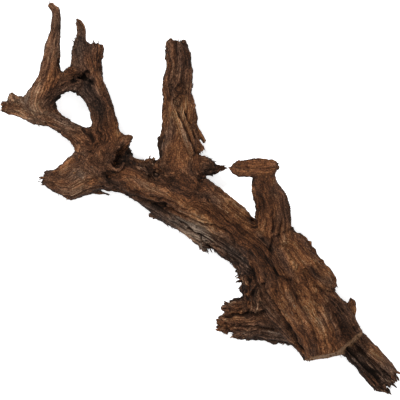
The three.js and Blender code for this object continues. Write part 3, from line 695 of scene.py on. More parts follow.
# Each calm place has a place in plan, a radius and how calm it is, from 0 to 1.
CALM_PLACES = {
    "upper trunk": ([-20, 10], 30, 0.75),
    "root of the antler": ([-110, 66], 26, 0.7),
    "foot of the tall branch": ([-26, 52], 26, 0.8),
    "neck": ([-84, 20], 16, 0.6),
    "lower side of the trunk": ([0, -22], 14, 0.3),
    "middle of the trunk": ([26, -8], 28, 0.6),
    "plate": ([116, -70], 22, 0.4),
    "foot of the stem": ([90, -44], 16, 0.6),
    "slab": ([118, -116], 34, 0.5),
}


def patched(points, patches, column):
    """Sum of soft round patches, each a number from a table's column times exp(-(r / radius)^2)
    in plan."""
    total = np.zeros(len(points))
    for place, radius, *amount in patches.values():
        centre = from_plan([*place, 0])[:2]
        r2 = ((points[:, :2] - centre) ** 2).sum(axis=1) / radius**2
        total += amount[column] * np.exp(-r2)
    return total


def look_of(limb, column):
    """Lumps, streaks or waviness of each point's limb: column 0, 1 or 2 of LOOK."""
    return np.array([LOOK.get(name, (1, 1, 1))[column] for name in LIMBS])[limb.astype(int)]


print(len(LOOK), "limbs with a look of their own,", len(CALM_PLACES), "calm places")


# %% The relief
def wandered(grain, points):
    """Grain coordinates pushed about by slow noise in space, and by a quick small one that is
    1 + BURL times as strong in a wholly calm place. The push is mostly sideways, since one
    across the depth would break each line instead of bending it."""
    moved = grain.copy()
    wavy = look_of(grain[:, 5], 2)
    curly = wavy * (1 + BURL * patched(points, CALM_PLACES, 0))
    for layer, amount in ((WANDER, wavy), (CURL, curly)):
        for column, key, shift in ((1, "x", 11.3), (2, "y", 43.9), (3, "run", 57.1)):
            place = points / layer["size"] + shift
            moved[:, column] += amount * layer[key] * noise(*place.T)
    return moved


def band(x, y, run, size, seed, layer):
    """Height times noise, which is narrow across the grain and long with it."""
    height = np.minimum(layer.get("share", 1) * size, layer["most"])
    return height * noise(x / layer["width"], y / layer["width"], run / layer["run"] + seed)


def gash(x, y, run, size, seed, layer):
    """A V cut along the line where the noise passes zero: -depth (1 - |noise| / opening)."""
    depth = np.minimum(layer["share"] * size, layer["most"])
    n = noise(x / layer["width"], y / layer["width"], run / layer["run"] + seed)
    return -depth * np.clip(1 - np.abs(n) / layer["opening"], 0, 1)


def ledges(x, y, run, size, seed, layer):
    """Overlapping plates: the noise times a number of steps, less its whole part, climbs slowly
    and drops at once."""
    n = noise(x / layer["width"], y / layer["width"], run / layer["run"] + seed)
    return np.minimum(size / 10, 1) * layer["most"] * (layer["steps"] * n % 1 - 0.5)


def relief(plain, waved):
    """Flutes, ridges and swellings on the plain coordinates, as in the CAD model; plates, cracks
    and fibres on the coordinates that wander."""
    _, x, y, run, size, seed = plain.T
    height = band(x, y, run, size, seed, FLUTE) + band(x, y, run, size, seed, RIDGE)
    height += SWELL["share"] * size * noise(run / SWELL["run"], seed, 0.5)
    _, x, y, run, size, seed = waved.T
    height += np.clip(look_of(seed, 0), 0.6, 2) * ledges(x, y, run, size, seed + 2.6, LEDGE)
    place = (x / CRACKED["width"], y / CRACKED["width"], run / CRACKED["run"] + seed + 5.5)
    cracked = np.clip(CRACKED["mean"] + CRACKED["spread"] * noise(*place), CRACKED["least"], 1)
    height += cracked * gash(x, y, run, size, seed + 3.1, CRACK)
    height += cracked * gash(x, y, run, size, seed + 7.7, SPLIT)
    return height + np.minimum(size / 8, 1) * band(x, y, run, size, seed + 9.2, FIBRE)


def roughness_of(points, limb):
    """Lumps and crumbs alike in all directions, more of them where the wood has rotted."""
    return look_of(limb, 0) * (LUMP["most"] * noise(*(points / LUMP["size"]).T)
                               + CRUMB["most"] * noise(*(points / CRUMB["size"]).T))


waved, waved_next = wandered(nearest, base), wandered(second, base)
rise = (1 - share) * relief(nearest, waved) + share * relief(second, waved_next)
rise += (1 - share) * roughness_of(base, nearest[:, 5]) + share * roughness_of(base, second[:, 5])
print("relief from", round(rise.min(), 1), "to", round(rise.max(), 1), "mm")

# %% [markdown]
# The relief is raised from the smooth body along the field's slope, which is the way out of the
# wood. Little of it is left on the sawn faces, which the saw made flat, and it fades over the
# lowest millimetres, so that the wood rests on its flats. Cracks that the eye knows the piece by are
# drawn one by one: a half width, a depth and a row of points in plan.

# %% Directions and sawn faces
SAWN_RADIUS = 45
SAWN_FADE = 1.5


def sample(field, points):
    """Value of the field at points: the eight cells round each, weighted by how near they are."""
    place = np.clip((points - low) / CELL, 0, np.array(field.shape) - 1.001)
    i = place.astype(int)
    t = place - i
    total = 0
    for corner in np.ndindex(2, 2, 2):
        weight = np.prod(np.where(corner, t, 1 - t), axis=1)
        total = total + weight * field[tuple((i + corner).T)]
    return total


def outward(field, points):
    """Direction in which the field grows fastest."""
    h = np.eye(3) * CELL
    return unit(np.stack([sample(field, points + s) - sample(field, points - s) for s in h], 1))


def sawn(points, normal):
    """1 where the skin faces the slab's cut and lies within 0.9 mm of it, falling to 0 at 2.4 mm.
    The cap's cut has weathered as dark as the skin, so it is left out."""
    face = np.zeros(len(points))
    for at, facing in SAW_CUTS["trunk"] + SAW_CUTS["leftStrip"]:
        facing = unit(turned(facing))
        away = np.abs((points - from_plan(at)) @ facing)
        towards = np.clip((normal @ facing - 0.5) * 4, 0, 1)
        near = np.linalg.norm(points - from_plan(at), axis=1) < SAWN_RADIUS
        face = np.maximum(face, np.clip(1.6 - away / SAWN_FADE, 0, 1) * towards * near)
    return face


normal = outward(field, base)
cut_face = sawn(base, normal)
print("points on the sawn end", int((cut_face > 0.5).sum()))

# %% Cracks drawn in plan
GROOVE_WANDER = {"size": 7, "most": 1.6}
GROOVES = {
    "long crack of the trunk": (1.1, 4.0, [[-62, 0], [-40, -11], [-15.5, -21.4], [1.2, -27.4],
                                [19, -32.1], [27.4, -36.9], [36, -44], [46, -57]]),
    "crack of the strand": (1.2, 4.5, [[-57, -7], [-49, -10.3], [-27, -23.8], [-7, -38],
                            [12, -49], [27.4, -60.7], [45, -78]]),
    "gap over the splinter": (1.2, 7, [[-14, -36], [-3.4, -40.7], [5, -52.7], [12, -57.8]]),
    "short crack of the strand": (1.0, 3, [[-5, -33], [14, -43], [30, -55], [48, -72]]),
    "groove of the slab": (2.2, 1.8, [[132, -118], [145, -122.5], [158, -133], [170, -151],
                           [180, -166.5]]),
    "crack of the right strip": (1.3, 3, [[162, -118], [178.5, -137], [188.5, -157]]),
    "left crack of the slab": (1.2, 2.4, [[95, -97.5], [102, -120], [115.5, -140]]),
    "middle crack of the slab": (1.2, 2.4, [[115.5, -113], [119, -126], [131, -146],
                                [140, -170]]),
    "collar of the stem": (1.8, 2.0, [[70, -46], [84, -47], [96, -41], [110, -35]]),
    "edge of the plate": (1.8, 3.0, [[86, -48], [83, -60], [84, -72], [90, -90], [108, -98]]),
    "left edge of the slab": (1.8, 5, [[74, -101], [83, -119], [99, -143], [111, -163],
                              [122, -181]]),
    "crack of the ridge": (1.1, 2.5, [[140, -104], [158, -120], [172, -136], [184, -158]]),
    "right crack of the tail": (1.2, 3, [[186, -176], [205, -192], [226, -210]]),
    "left crack of the tail": (1.2, 3, [[176, -186], [194, -206], [212, -224]]),
    "groove of the tail": (2.4, 6, [[178, -178], [196, -197], [217, -216]]),
    "channel of the tall branch": (2.2, 3, [[-30, 190], [-29, 175], [-28, 152]]),
    "left crack of the tall branch": (1.3, 3, [[-36, 170], [-37, 140], [-38, 120]]),
    "crack by the splinter": (1.4, 4.5, [[-25, 104], [-17, 86], [-10, 70], [-4, 56]]),
    "crack under the splinter": (1.4, 4.5, [[-17, 106], [-10, 90], [-3, 74]]),
    "gouge of the arm": (2.2, 4, [[-139, 84], [-133, 79], [-127, 71]]),
    "crevice of the bridge": (2.4, 5, [[-152, 141], [-138, 146], [-128, 140]]),
    "left flute of the stem": (1.5, 1.2, [[80, 22], [84, -5], [88, -38]]),
    "right flute of the stem": (1.4, 1.0, [[84, 18], [92, -6], [98, -34]]),
    "crack of the root lobe": (1.6, 4, [[30, -141], [52, -138], [78, -136]]),
    "low crack of the root lobe": (1.6, 4, [[36, -154], [60, -152], [88, -157]]),
}


def grooved(points, normal):
    """A V along each row of points, open to the sky: -depth (1.4 - distance / half width), but
    never deeper than the depth. Noise moves the row a little aside."""
    depth = np.zeros(len(points))
    place = points / GROOVE_WANDER["size"]
    aside = GROOVE_WANDER["most"] * np.stack([noise(*(place + shift).T) for shift in (3.3, 71.9)],
                                             axis=1)
    for half, deep, row in GROOVES.values():
        row = from_plan([[*p, 0] for p in row])[:, :2]
        for a, b in zip(row, row[1:]):
            offset = points[:, :2] + aside - a
            t = np.clip(offset @ (b - a) / ((b - a) @ (b - a)), 0, 1)
            away = np.linalg.norm(offset - t[:, None] * (b - a), axis=1)
            depth = np.maximum(depth, deep * np.clip(1.4 - away / half, 0, 1))
    return -depth * np.clip(2 * normal[:, 2], 0, 1)


grooves = grooved(base, normal)
print(len(GROOVES), "drawn cracks, down to", round(grooves.min(), 1), "mm")

# %% Raise the relief
SAW_FLATTENS = 0.85
FOOT_HEIGHT = 3
rise += grooves
kept = (1 - SAW_FLATTENS * cut_face) * np.clip(base[:, 2] / FOOT_HEIGHT, 0, 1)
skin = base + normal * (rise * kept)[:, None]
skin[:, 2] = np.maximum(skin[:, 2], 0)
print("skin between", skin.min(axis=0).round(), "and", skin.max(axis=0).round(), "mm")

# %% [markdown]
# Four more numbers per point help the finish. Openness says how much of the sky a point sees:
# the field a few millimetres off the skin is as large as that distance on a ridge, and less in
# a crack, and the finish paints shade where it is low. Tone and shade says where the piece is
# painted darker or paler than the rest: partly its own tone, and partly painted shade, which
# darkens the flanks the more they turn from the sky, and some pits, dips, folds and places under
# or beside other wood. Grey says where the sun has bleached the brown away, and streaks how
# plainly the grain shows. Each patch is a place in plan, a radius, and what it adds to the tone
# and shade and to the grey.

# %% Patches of tone, painted shade and grey
# The darkening of these patches is painted shade: pit by the knob, trough of the knot, under the
# bridge, foot of the spur, dip of the slab, fold by the plate, left of the stem, right of the tall
# branch and hollow of the tall branch.
PATCHES = {
    "bark clump": ([-62, 37], 17, 0.08, 0.4),
    "fibrous bay": ([60, -88], 19, -0.09, 0.1),
    "low part of the bay": ([50, -104], 12, 0.1, 0.5),
    "pit by the knob": ([-92, 54], 13, -0.28, 0.3),
    "trough of the knot": ([-103, 32], 12, -0.12, 0),
    "under the bridge": ([-142, 134], 14, -0.22, 0.4),
    "left end of the bridge": ([-166, 130], 11, -0.16, 0.1),
    "left of the ring": ([-177, 120], 12, -0.26, 0.2),
    "right of the ring": ([-120, 110], 14, -0.32, 0.1),
    "middle finger": ([-143, 184], 17, -0.1, 0.8),
    "right finger": ([-124, 170], 12, -0.1, 0),
    "tall finger": ([-180, 180], 18, 0.12, 0.2),
    "foot of the spur": ([6, 26], 12, -0.2, 0.2),
    "spur": ([20, 38], 12, -0.2, 0),
    "foot of the tall branch": ([-20, 56], 20, 0.06, -0.5),
    "end of the tall branch": ([-24, 176], 16, -0.04, -0.2),
    "dip of the slab": ([129, -92], 11, -0.34, 0),
    "groove of the slab": ([166, -146], 13, -0.02, 0),
    "slab": ([118, -118], 34, 0.21, -0.25),
    "end of the slab": ([150, -168], 18, -0.16, -0.6),
    "left of the slab": ([100, -118], 14, 0.1, 0.2),
    "fold by the plate": ([54, -64], 14, -0.16, 0.3),
    "root of the trunk": ([62, -40], 20, 0.1, -0.4),
    "upper trunk": ([-24, 8], 22, -0.28, -0.6),
    "flute of the trunk": ([-28, -8], 13, 0.2, 0),
    "root of the antler": ([-113, 74], 17, -0.32, -0.6),
    "right plate": ([128, -66], 22, 0.1, -0.4),
    "middle of the trunk": ([36, -10], 26, 0.26, -0.4),
    "lower side of the trunk": ([58, -48], 16, 0.06, 0),
    "tail": ([196, -200], 26, -0.16, 0.9),
    "end of the tail": ([222, -222], 14, -0.1, 0.6),
    "right of the slab": ([149, -83], 14, 0.14, -0.5),
    "right strip of the slab": ([178, -140], 12, 0.12, -0.2),
    "right side of the tail": ([214, -184], 14, 0.24, -0.7),
    "stem": ([86, -15], 24, -0.07, 0),
    "left of the stem": ([64, -4], 10, -0.2, 0),
    "middle of the tall branch": ([-28, 108], 26, 0.3, -0.55),
    "right of the tall branch": ([-14, 166], 8, -0.24, 0),
    "hollow of the tall branch": ([-30, 136], 10, -0.16, 0),
    "splinters of the tall branch": ([-16, 82], 10, 0.12, 0),
    "cap of the stem": ([68, 38], 20, -0.04, -0.6),
    "arm": ([-205, 108], 30, 0.28, 0.55),
    "root of the tall finger": ([-196, 118], 12, -0.12, -0.4),
    "root of the arm": ([-156, 84], 16, 0.06, 0.6),
    "stub": ([-152, 28], 26, 0.18, 0),
    "thorn": ([182, -122], 9, -0.2, 0.2),
    "root lobe": ([75, -150], 30, 0.0, 0.1),
    "upper strand": ([-32, -26], 12, 0.16, 0.7),
    "strand": ([-6, -38], 18, 0.48, 0.8),
    "end of the strand": ([34, -66], 14, -0.06, 0.5),
    "splinters of the strand": ([6, -52], 9, 0.1, 0.8),
    "foot of the stem": ([100, -38], 14, 0.14, -0.4),
    "knob": ([-97, 77], 12, 0.18, 0.0),
}
print(len(PATCHES), "patches")

# %% Openness, tone and painted shade, grey and streaks
OPEN_STEPS = (3, 7, 15)
FLANK_SHADE = -0.3
GREY_LIMBS = ("strand", "lowStrand", "rootLow", "stubLow")
GREY_OF_LIMB = 0.6
LEAST_STREAKS = 0.15

openness = np.mean([np.clip(sample(field, skin + normal * s) / s, 0, 1) for s in OPEN_STEPS], 0)
on_grey = np.isin(nearest[:, 5], [list(LIMBS).index(name) for name in GREY_LIMBS])
grey = GREY_OF_LIMB * on_grey + patched(skin, PATCHES, 1)
streaks = (1 - share) * look_of(nearest[:, 5], 1) + share * look_of(second[:, 5], 1)
streaks *= np.clip(1 - patched(skin, CALM_PLACES, 0), LEAST_STREAKS, 1)
# Painted shade on the flanks: darker the more the skin turns from the sky, added to the patches.
tone = patched(skin, PATCHES, 0) + FLANK_SHADE * np.clip(1 - normal[:, 2], 0, 1) ** 2
print("openness", round(openness.min(), 2), "to", round(openness.max(), 2))

# %% [markdown]
# The skin becomes a mesh, and every point carries its numbers with it as attributes. The finish
# reads them, so that the colour knows the grain as well as the shape does. The pattern has its
# own place for each limb, or two limbs side by side would show the same streaks.

# %% The driftwood mesh
LIMB_APART = 500


def mesh_of(name, points, faces, **attributes):
    """A smooth-shaded object at the origin, in metres, with one number or vector per point
    under each attribute's name."""
    mesh = bpy.data.meshes.new(name)
    mesh.from_pydata((points * MM).tolist(), [], faces.tolist())
    for key, values in attributes.items():
        kind = "FLOAT_VECTOR" if values.ndim == 2 else "FLOAT"
        layer = mesh.attributes.new(key, kind, "POINT")
        layer.data.foreach_set("vector" if values.ndim == 2 else "value",
                               values.astype(np.float32).ravel())
    mesh.polygons.foreach_set("use_smooth", np.ones(len(faces), bool))
    mesh.validate()
    made = bpy.data.objects.new(name, mesh)
    scene.collection.objects.link(made)
    return made


def pattern_place(grain):
    """Grain coordinates for the finish: x, y, and the run moved on by 500 mm for each limb."""
    return np.stack([grain[:, 1], grain[:, 2], grain[:, 3] + LIMB_APART * grain[:, 5]], axis=1)


fine = mesh_of("driftwood_fine", skin, quads, grain=pattern_place(waved),
               grain_next=pattern_place(waved_next), share=share, openness=openness,
               relief=rise, tone=tone, grey=grey, sawn=cut_face, streaks=streaks,
               cleft=-grooves)
print(len(fine.data.polygons) * 2, "triangles before thinning")

# %% [markdown]
# A grid spends as many points on a smooth flank as on a crack. Decimate merges points where the
# skin is flat and keeps them at cracks and ridges, so fewer triangles show the same wood.

# %% Thin the mesh
MOST_TRIANGLES = 196000
thinning = fine.modifiers.new("thin", "DECIMATE")
thinning.ratio = min(1, MOST_TRIANGLES / (2 * len(fine.data.polygons)))
thinned = bpy.data.meshes.new_from_object(
    fine.evaluated_get(bpy.context.evaluated_depsgraph_get()))
wood = bpy.data.objects.new("driftwood_surface", thinned)
scene.collection.objects.link(wood)
bpy.data.objects.remove(fine)
print(sum(len(p.vertices) - 2 for p in wood.data.polygons), "triangles kept")

# %% [markdown]
# ## Torn fibres
# Where wood breaks it does not end clean: fibres stand out along the break. Each one is a thin
# blade that leaves the skin, bends a little and narrows to a point. Broken edges are ragged with
# them, and short ones have lifted along the grain all over. A torn edge is a line in plan from
# one end to the other, the fibres' heading in degrees, their number, length and width.

# %% Where fibres stand out
TORN_EDGES = {
    "stub tip": ([-192, 14], [-194, 34], 182, 12, 7, 1.6),
    "foot of the stub": ([-172, 6], [-150, -2], 240, 4, 5, 1.6),
    "arm tip": ([-236, 108], [-236, 120], 178, 5, 5, 1.6),
    "arm ear": ([-228, 124], [-222, 128], 110, 3, 4, 1.3),
    "tall finger": ([-168, 160], [-166, 200], 285, 7, 7, 1.3),
    "tall finger tip": ([-182, 233], [-170, 226], 120, 4, 6, 1.2),
    "middle finger": ([-148, 190], [-146, 214], 105, 6, 6, 1.2),
    "right finger": ([-128, 186], [-118, 190], 85, 6, 6, 1.4),
    "top of the tall branch": ([-42, 184], [-20, 190], 85, 5, 4, 1.6),
    "right of the tall branch": ([-8, 150], [-4, 100], 275, 5, 7, 1.8),
    "break of the tall branch": ([0, 64], [8, 66], 300, 8, 8, 2.0),
    "left of the tall branch": ([-46, 150], [-48, 70], 265, 12, 6, 1.4),
    "bark clump": ([-72, 44], [-40, 40], 80, 20, 4.5, 2.4),
    "knob": ([-92, 74], [-78, 66], 30, 8, 4, 2.2),
    "spur": ([10, 48], [32, 38], 10, 8, 5, 2.0),
    "under the spur": ([4, 28], [22, 32], 330, 6, 5, 1.8),
    "low strand": ([-50, -24], [16, -62], 310, 16, 8, 1.5),
    "low strand end": ([3, -54], [17, -65], 300, 22, 11, 1.6),
    "side of the strand": ([14, -62], [52, -92], 312, 10, 6, 1.6),
    "bay": ([46, -84], [46, -122], 205, 9, 5, 3.4),
    "spike of the bay": ([46, -96], [46, -102], 200, 4, 9, 3.0),
    "root lobe": ([22, -134], [20, -156], 188, 12, 5, 2.6),
    "under the root lobe": ([30, -164], [98, -176], 225, 10, 4, 2.2),
    "top of the root lobe": ([30, -128], [62, -120], 150, 8, 5, 1.8),
    "tail end": ([222, -232], [238, -210], 316, 20, 11, 3.0),
    "left of the tail": ([182, -190], [218, -230], 300, 8, 6, 2.2),
    "right of the tail": ([180, -150], [236, -206], 320, 8, 7, 1.6),
    "slab foot": ([128, -200], [160, -212], 280, 4, 3, 1.5),
    "right of the slab": ([120, -50], [166, -108], 300, 10, 6, 1.6),
    "right of the trunk": ([20, 18], [62, -22], 320, 8, 6, 1.6),
    "cap tip": ([36, 36], [44, 40], 180, 5, 4, 1.6),
    "cap rim": ([50, 44], [92, 40], 70, 6, 3, 1.6),
    "thorn": ([176, -122], [184, -116], 95, 3, 4, 1.2),
    "foot of the stem": ([72, -44], [104, -48], 270, 8, 6, 1.5),
}
LIFTED = {"number": 500, "length": 6.0, "width": 0.9}
print(len(TORN_EDGES), "torn edges,", LIFTED["number"], "lifted fibres")

# %% Choose the fibres
EDGE_REACH = 4.5
HEADING_SPREAD = 10
CLIMB_SPREAD = 0.2
EDGE_LIFT = 0.15
GRAIN_LIFT = 0.1
GRAIN_SPREAD = 0.08
draw = np.random.default_rng(44)


def near_line(start, end):
    """Skin points of the flanks that lie closest to a line drawn in plan: flat skin and the
    foot count as 100 mm further away."""
    a, b = from_plan([[*start, 0], [*end, 0]])[:, :2]
    offset = skin[:, :2] - a
    t = np.clip(offset @ (b - a) / ((b - a) @ (b - a)), 0, 1)
    away = np.linalg.norm(offset - t[:, None] * (b - a), axis=1)
    away += 100 * ((skin[:, 2] < 2) | (np.abs(normal[:, 2]) > 0.8))
    return np.nonzero(away < away.min() + EDGE_REACH)[0]


def along_grain(roots):
    """Direction of the nearest ring of the limb that each root lies on: rings of other limbs
    count as 1 m further away."""
    centres = np.concatenate([r["centre"] for r in RINGS.values()])
    ways = np.concatenate([unit(np.gradient(r["centre"], axis=0)) for r in RINGS.values()])
    owner = np.repeat(np.arange(len(RINGS)), [len(r["run"]) for r in RINGS.values()])
    apart = np.linalg.norm(skin[roots][:, None] - centres, axis=2)
    apart += 1000 * (owner[None] != nearest[roots, 5][:, None])
    return ways[apart.argmin(axis=1)]


def chosen_fibres():
    """Root point, direction, length and width of every fibre. At a torn edge it takes the edge's
    heading, elsewhere the grain's, each lifted by a share of the skin's normal."""
    rows = []
    for start, end, heading, number, length, width in TORN_EDGES.values():
        roots = draw.choice(near_line(start, end), number)
        heading = np.radians(heading + draw.normal(0, HEADING_SPREAD, number)) + LONG_AXIS_TURN
        climb = draw.normal(0, CLIMB_SPREAD, number)
        flat = np.stack([np.cos(heading), np.sin(heading), climb], axis=1)
        rows.append((roots, unit(flat + EDGE_LIFT * normal[roots]), np.full(number, length),
                     np.full(number, width)))
    number = LIFTED["number"]
    roots = draw.choice(np.nonzero(skin[:, 2] > 3)[0], number)
    way = along_grain(roots) * draw.choice([-1, 1], number)[:, None]
    stray = draw.normal(0, GRAIN_SPREAD, (number, 3))
    rows.append((roots, unit(way + GRAIN_LIFT * normal[roots] + stray),
                 np.full(number, LIFTED["length"]), np.full(number, LIFTED["width"])))
    roots, way, length, width = (np.concatenate(column) for column in zip(*rows))
    length *= draw.uniform(0.35, 1, len(roots))
    width *= draw.uniform(0.5, 1.2, len(roots))
    return roots, way, length, width


roots, way, length, width = chosen_fibres()
print(len(roots), "fibres,", round(length.mean(), 1), "mm long on average")

# %% [markdown]
# All blades are worked out at once. Each starts a little under the skin and has five sections, and
# a section is a flat diamond of four corners: the middle line plus the blade's half width to
# the sides and half of that up and down. The middle line leaves its first way by a bend that
# grows with the square of the run, and the blade narrows as (1 - t)^0.6.

# %% Middle lines of the blades
SECTIONS = 5
ROOT_DEPTH = 1.5
BEND = 0.07
TAPER = 0.6
THINNEST_SHARE = 0.05

t = np.linspace(0, 1, SECTIONS)
side = unit(np.cross(way, normal[roots]) + 1e-6)
up = np.cross(side, way)
bend = draw.normal(0, BEND, (2, len(roots)))
lengthwise = (length + ROOT_DEPTH)[:, None] * t
middle = (skin[roots] - ROOT_DEPTH * way)[:, None] + lengthwise[..., None] * way[:, None]
middle += (lengthwise * t * bend[0][:, None])[..., None] * side[:, None]
middle += (lengthwise * t * bend[1][:, None])[..., None] * up[:, None]
uneven = draw.uniform(0.7, 1.3, (len(roots), SECTIONS))
blade = np.maximum((1 - t) ** TAPER * uneven, THINNEST_SHARE) * width[:, None]
print("widest blade", round(2 * blade.max(), 1), "mm")

# %% The blades
LOWEST = 0.2
PATTERN_SPREAD = 300
corner = np.array([[1, 0], [0, 1], [-1, 0], [0, -1]]) * [1, 0.5]
points = (middle[:, :, None]
          + (blade[:, :, None] * corner[:, 0])[..., None] * side[:, None, None]
          + (blade[:, :, None] * corner[:, 1])[..., None] * up[:, None, None])
first = np.arange(len(roots))[:, None, None] * SECTIONS * 4
ring, now, after = np.arange(SECTIONS - 1)[:, None] * 4, np.arange(4), (np.arange(4) + 1) % 4
walls = np.stack([ring + now, ring + after, ring + 4 + after, ring + 4 + now], axis=-1)
ends = np.array([[3, 2, 1, 0], [0, 1, 2, 3]]) + np.array([[0], [4 * SECTIONS - 4]])
faces = (np.concatenate([walls.reshape(-1, 4), ends])[None] + first).reshape(-1, 4)[:, ::-1]
points = points.reshape(-1, 3)
points[:, 2] = np.maximum(points[:, 2], LOWEST)
per_fibre = SECTIONS * 4
own = np.repeat(roots, per_fibre)
shift = np.repeat(draw.uniform(0, PATTERN_SPREAD, (len(roots), 3)), per_fibre, axis=0)
spot = np.stack([np.tile(np.tile(corner[:, 0], SECTIONS), len(roots)),
                 np.tile(np.tile(corner[:, 1], SECTIONS), len(roots)),
                 np.repeat(lengthwise.ravel(), 4)], axis=1) + shift
none = np.zeros(len(points))
# Each fibre takes half the painted hollow shade of the skin it grows from, and its tone and painted
# shade.
torn = mesh_of("torn_fibres", points, faces, grain=spot, grain_next=spot, share=none,
               openness=0.5 + 0.5 * openness[own], relief=none + 1, tone=tone[own],
               grey=grey[own], sawn=none, streaks=streaks[own], cleft=none)
print(len(roots), "fibres,", len(faces) * 2, "triangles")

# %% [markdown]
# ## Weathered wood
# Driftwood is root wood that has lost its bark: water and sand took the soft layers and left
# the hard ones as ridges. It is matt and dark brown from tannin, and paler where ridges were
# rubbed; shade in its hollows and cracks is painted into the colour as well. Nothing on it is
# glossy, so roughness is high. IOR 1.5 is typical of wood.

# %% Colours
def linear(hex_colour):
    """sRGB hex to linear RGBA: c / 12.92 when dark, else ((c + 0.055) / 1.055)^2.4."""
    channels = [int(hex_colour[i:i + 2], 16) / 255 for i in (1, 3, 5)]
    return [c / 12.92 if c <= 0.04045 else ((c + 0.055) / 1.055) ** 2.4
            for c in channels] + [1.0]


DARKEST = linear("#120a05")
SAWN_WOOD = linear("#b08560")
print("dark of the cracks", [round(c, 4) for c in DARKEST[:3]])


# %% Node helpers
def add(tree, kind, links=None, **settings):
    """Adds one node. Each link gives an input socket a value or another node's output."""
    made = tree.nodes.new(kind)
    for key, value in settings.items():
        setattr(made, key, value)
    for key, value in (links or {}).items():
        if isinstance(value, bpy.types.NodeSocket):
            tree.links.new(value, made.inputs[key])
        else:
            made.inputs[key].default_value = value
    return made


material = bpy.data.materials.new("weathered_root_wood")
material.use_nodes = True
tree = material.node_tree
tree.nodes.clear()


def attribute(name, output="Fac"):
    """The number that each point of the mesh holds under this name."""
    return add(tree, "ShaderNodeAttribute", attribute_name=name).outputs[output]


def maths(operation, *values):
    """One sum, product or other operation on numbers or outputs."""
    return add(tree, "ShaderNodeMath", dict(enumerate(values)), operation=operation).outputs[0]


def mixed(factor, first, then):
    """A colour that goes from the first to the next as the factor goes from 0 to 1."""
    return add(tree, "ShaderNodeMix", {"Factor": factor, 6: first, 7: then},
               data_type="RGBA").outputs[2]


print("helpers ready for", material.name)

# %% [markdown]
# The colour could be painted or taken from a picture. Here it comes from patterns instead, each
# with its real size in millimetres: across the section, across it again and along the grain.
# Fibres, streaks and slow zones run along the limb, and so do two kinds of thin dark line.
# Mottle, grit and pores are alike in all directions.

# %% Patterns of the finish
FIBRE_MM = (1.3, 1.3, 48)
STREAK_MM = (3.4, 3.4, 60)
ZONE_MM = (13, 13, 55)
WARMTH_MM = (17, 17, 60)
CRACK_MM = (6.0, 6.0, 50)
CHECK_MM = (3.1, 3.1, 65)
MOTTLE_MM = 7.0
GRIT_MM = 1.5
PORE_MM = 2.6


def grain_noise(place, size, detail, offset):
    """Noise stretched along the grain: coordinates are divided by its size in millimetres."""
    scaled = add(tree, "ShaderNodeVectorMath",
                 {0: place, 1: [1 / s for s in size]}, operation="MULTIPLY")
    moved = add(tree, "ShaderNodeVectorMath",
                {0: scaled.outputs[0], 1: (offset, offset, offset)}, operation="ADD")
    return add(tree, "ShaderNodeTexNoise",
               {"Vector": moved.outputs[0], "Scale": 1.0, "Detail": detail,
                "Roughness": 0.6}).outputs["Fac"]


def faded(size, detail, offset):
    """The pattern of the nearest limb less its mean, fading into the next limb's at a joint."""
    own = grain_noise(attribute("grain", "Vector"), size, detail, offset)
    other = grain_noise(attribute("grain_next", "Vector"), size, detail, offset)
    both = add(tree, "ShaderNodeMix", {"Factor": attribute("share"), 2: own, 3: other},
               data_type="FLOAT").outputs[0]
    return maths("SUBTRACT", both, 0.5)


def thin_line(pattern, width):
    """1 where a pattern passes its mean, falling to 0 a little way off: 1 - |pattern| / width."""
    fall = maths("MULTIPLY_ADD", maths("ABSOLUTE", pattern), -1 / width, 1.0)
    return maths("MAXIMUM", fall, 0.0)


def even_noise(size, detail):
    """Noise alike in all directions, less its mean."""
    space = add(tree, "ShaderNodeTexCoord").outputs["Object"]
    made = add(tree, "ShaderNodeTexNoise",
               {"Vector": space, "Scale": 1000 / size, "Detail": detail, "Roughness": 0.6})
    return maths("SUBTRACT", made.outputs["Fac"], 0.5)


fibre, streak = faded(FIBRE_MM, 1, 3.0), faded(STREAK_MM, 2, 11.0)
zone, warmth = faded(ZONE_MM, 2, 29.0), faded(WARMTH_MM, 1, 83.0)
crack = thin_line(faded(CRACK_MM, 1, 47.0), 0.07)
check = thin_line(faded(CHECK_MM, 1, 61.0), 0.1)
mottle, grit = even_noise(MOTTLE_MM, 3), even_noise(GRIT_MM, 1)
pore = maths("MULTIPLY_ADD", even_noise(PORE_MM, 1), 9.0, -1.4)
pore = maths("MINIMUM", maths("MAXIMUM", pore, 0.0), 1.0)
print(len(tree.nodes), "nodes of patterns")

# %% [markdown]
# All the wood lies on one scale of shades, from the darkest brown to rubbed pale ridges. Each
# pattern moves the shade by its own share, and the mesh adds its relief, as painted shade low in
# the relief and a paler rub on the ridges, and its tone and painted shade. The scale is mixed from
# a warm brown one and a cool one, which stands for wood that the sun has greyed.

# %% Shade of the wood
WARM_SHADES = [(0.0, "#190f09"), (0.25, "#3a2416"), (0.5, "#694029"), (0.75, "#925f3a"),
               (1.0, "#b48c64")]
COOL_SHADES = [(0.0, "#1a1411"), (0.25, "#352923"), (0.5, "#57463c"), (0.75, "#7d6a5d"),
               (1.0, "#a69382")]
MEAN_SHADE = 0.6
SHADE = {"zone": 0.4, "streak": 0.18, "fibre": 0.28, "fibre of streaks": 0.5, "mottle": 0.4,
         "grit": 1.05, "relief": 0.06}
COOL = {"warmth": -1.8, "grey": 0.6, "mean": 0.22}


def ramp(shade, stops):
    """The colour between the two stops that a shade falls between."""
    made = add(tree, "ShaderNodeValToRGB", {0: shade})
    for _ in stops[2:]:
        made.color_ramp.elements.new(0.5)
    for stop, (at, colour) in zip(made.color_ramp.elements, stops):
        stop.position, stop.color = at, linear(colour)
    return made.outputs[0]


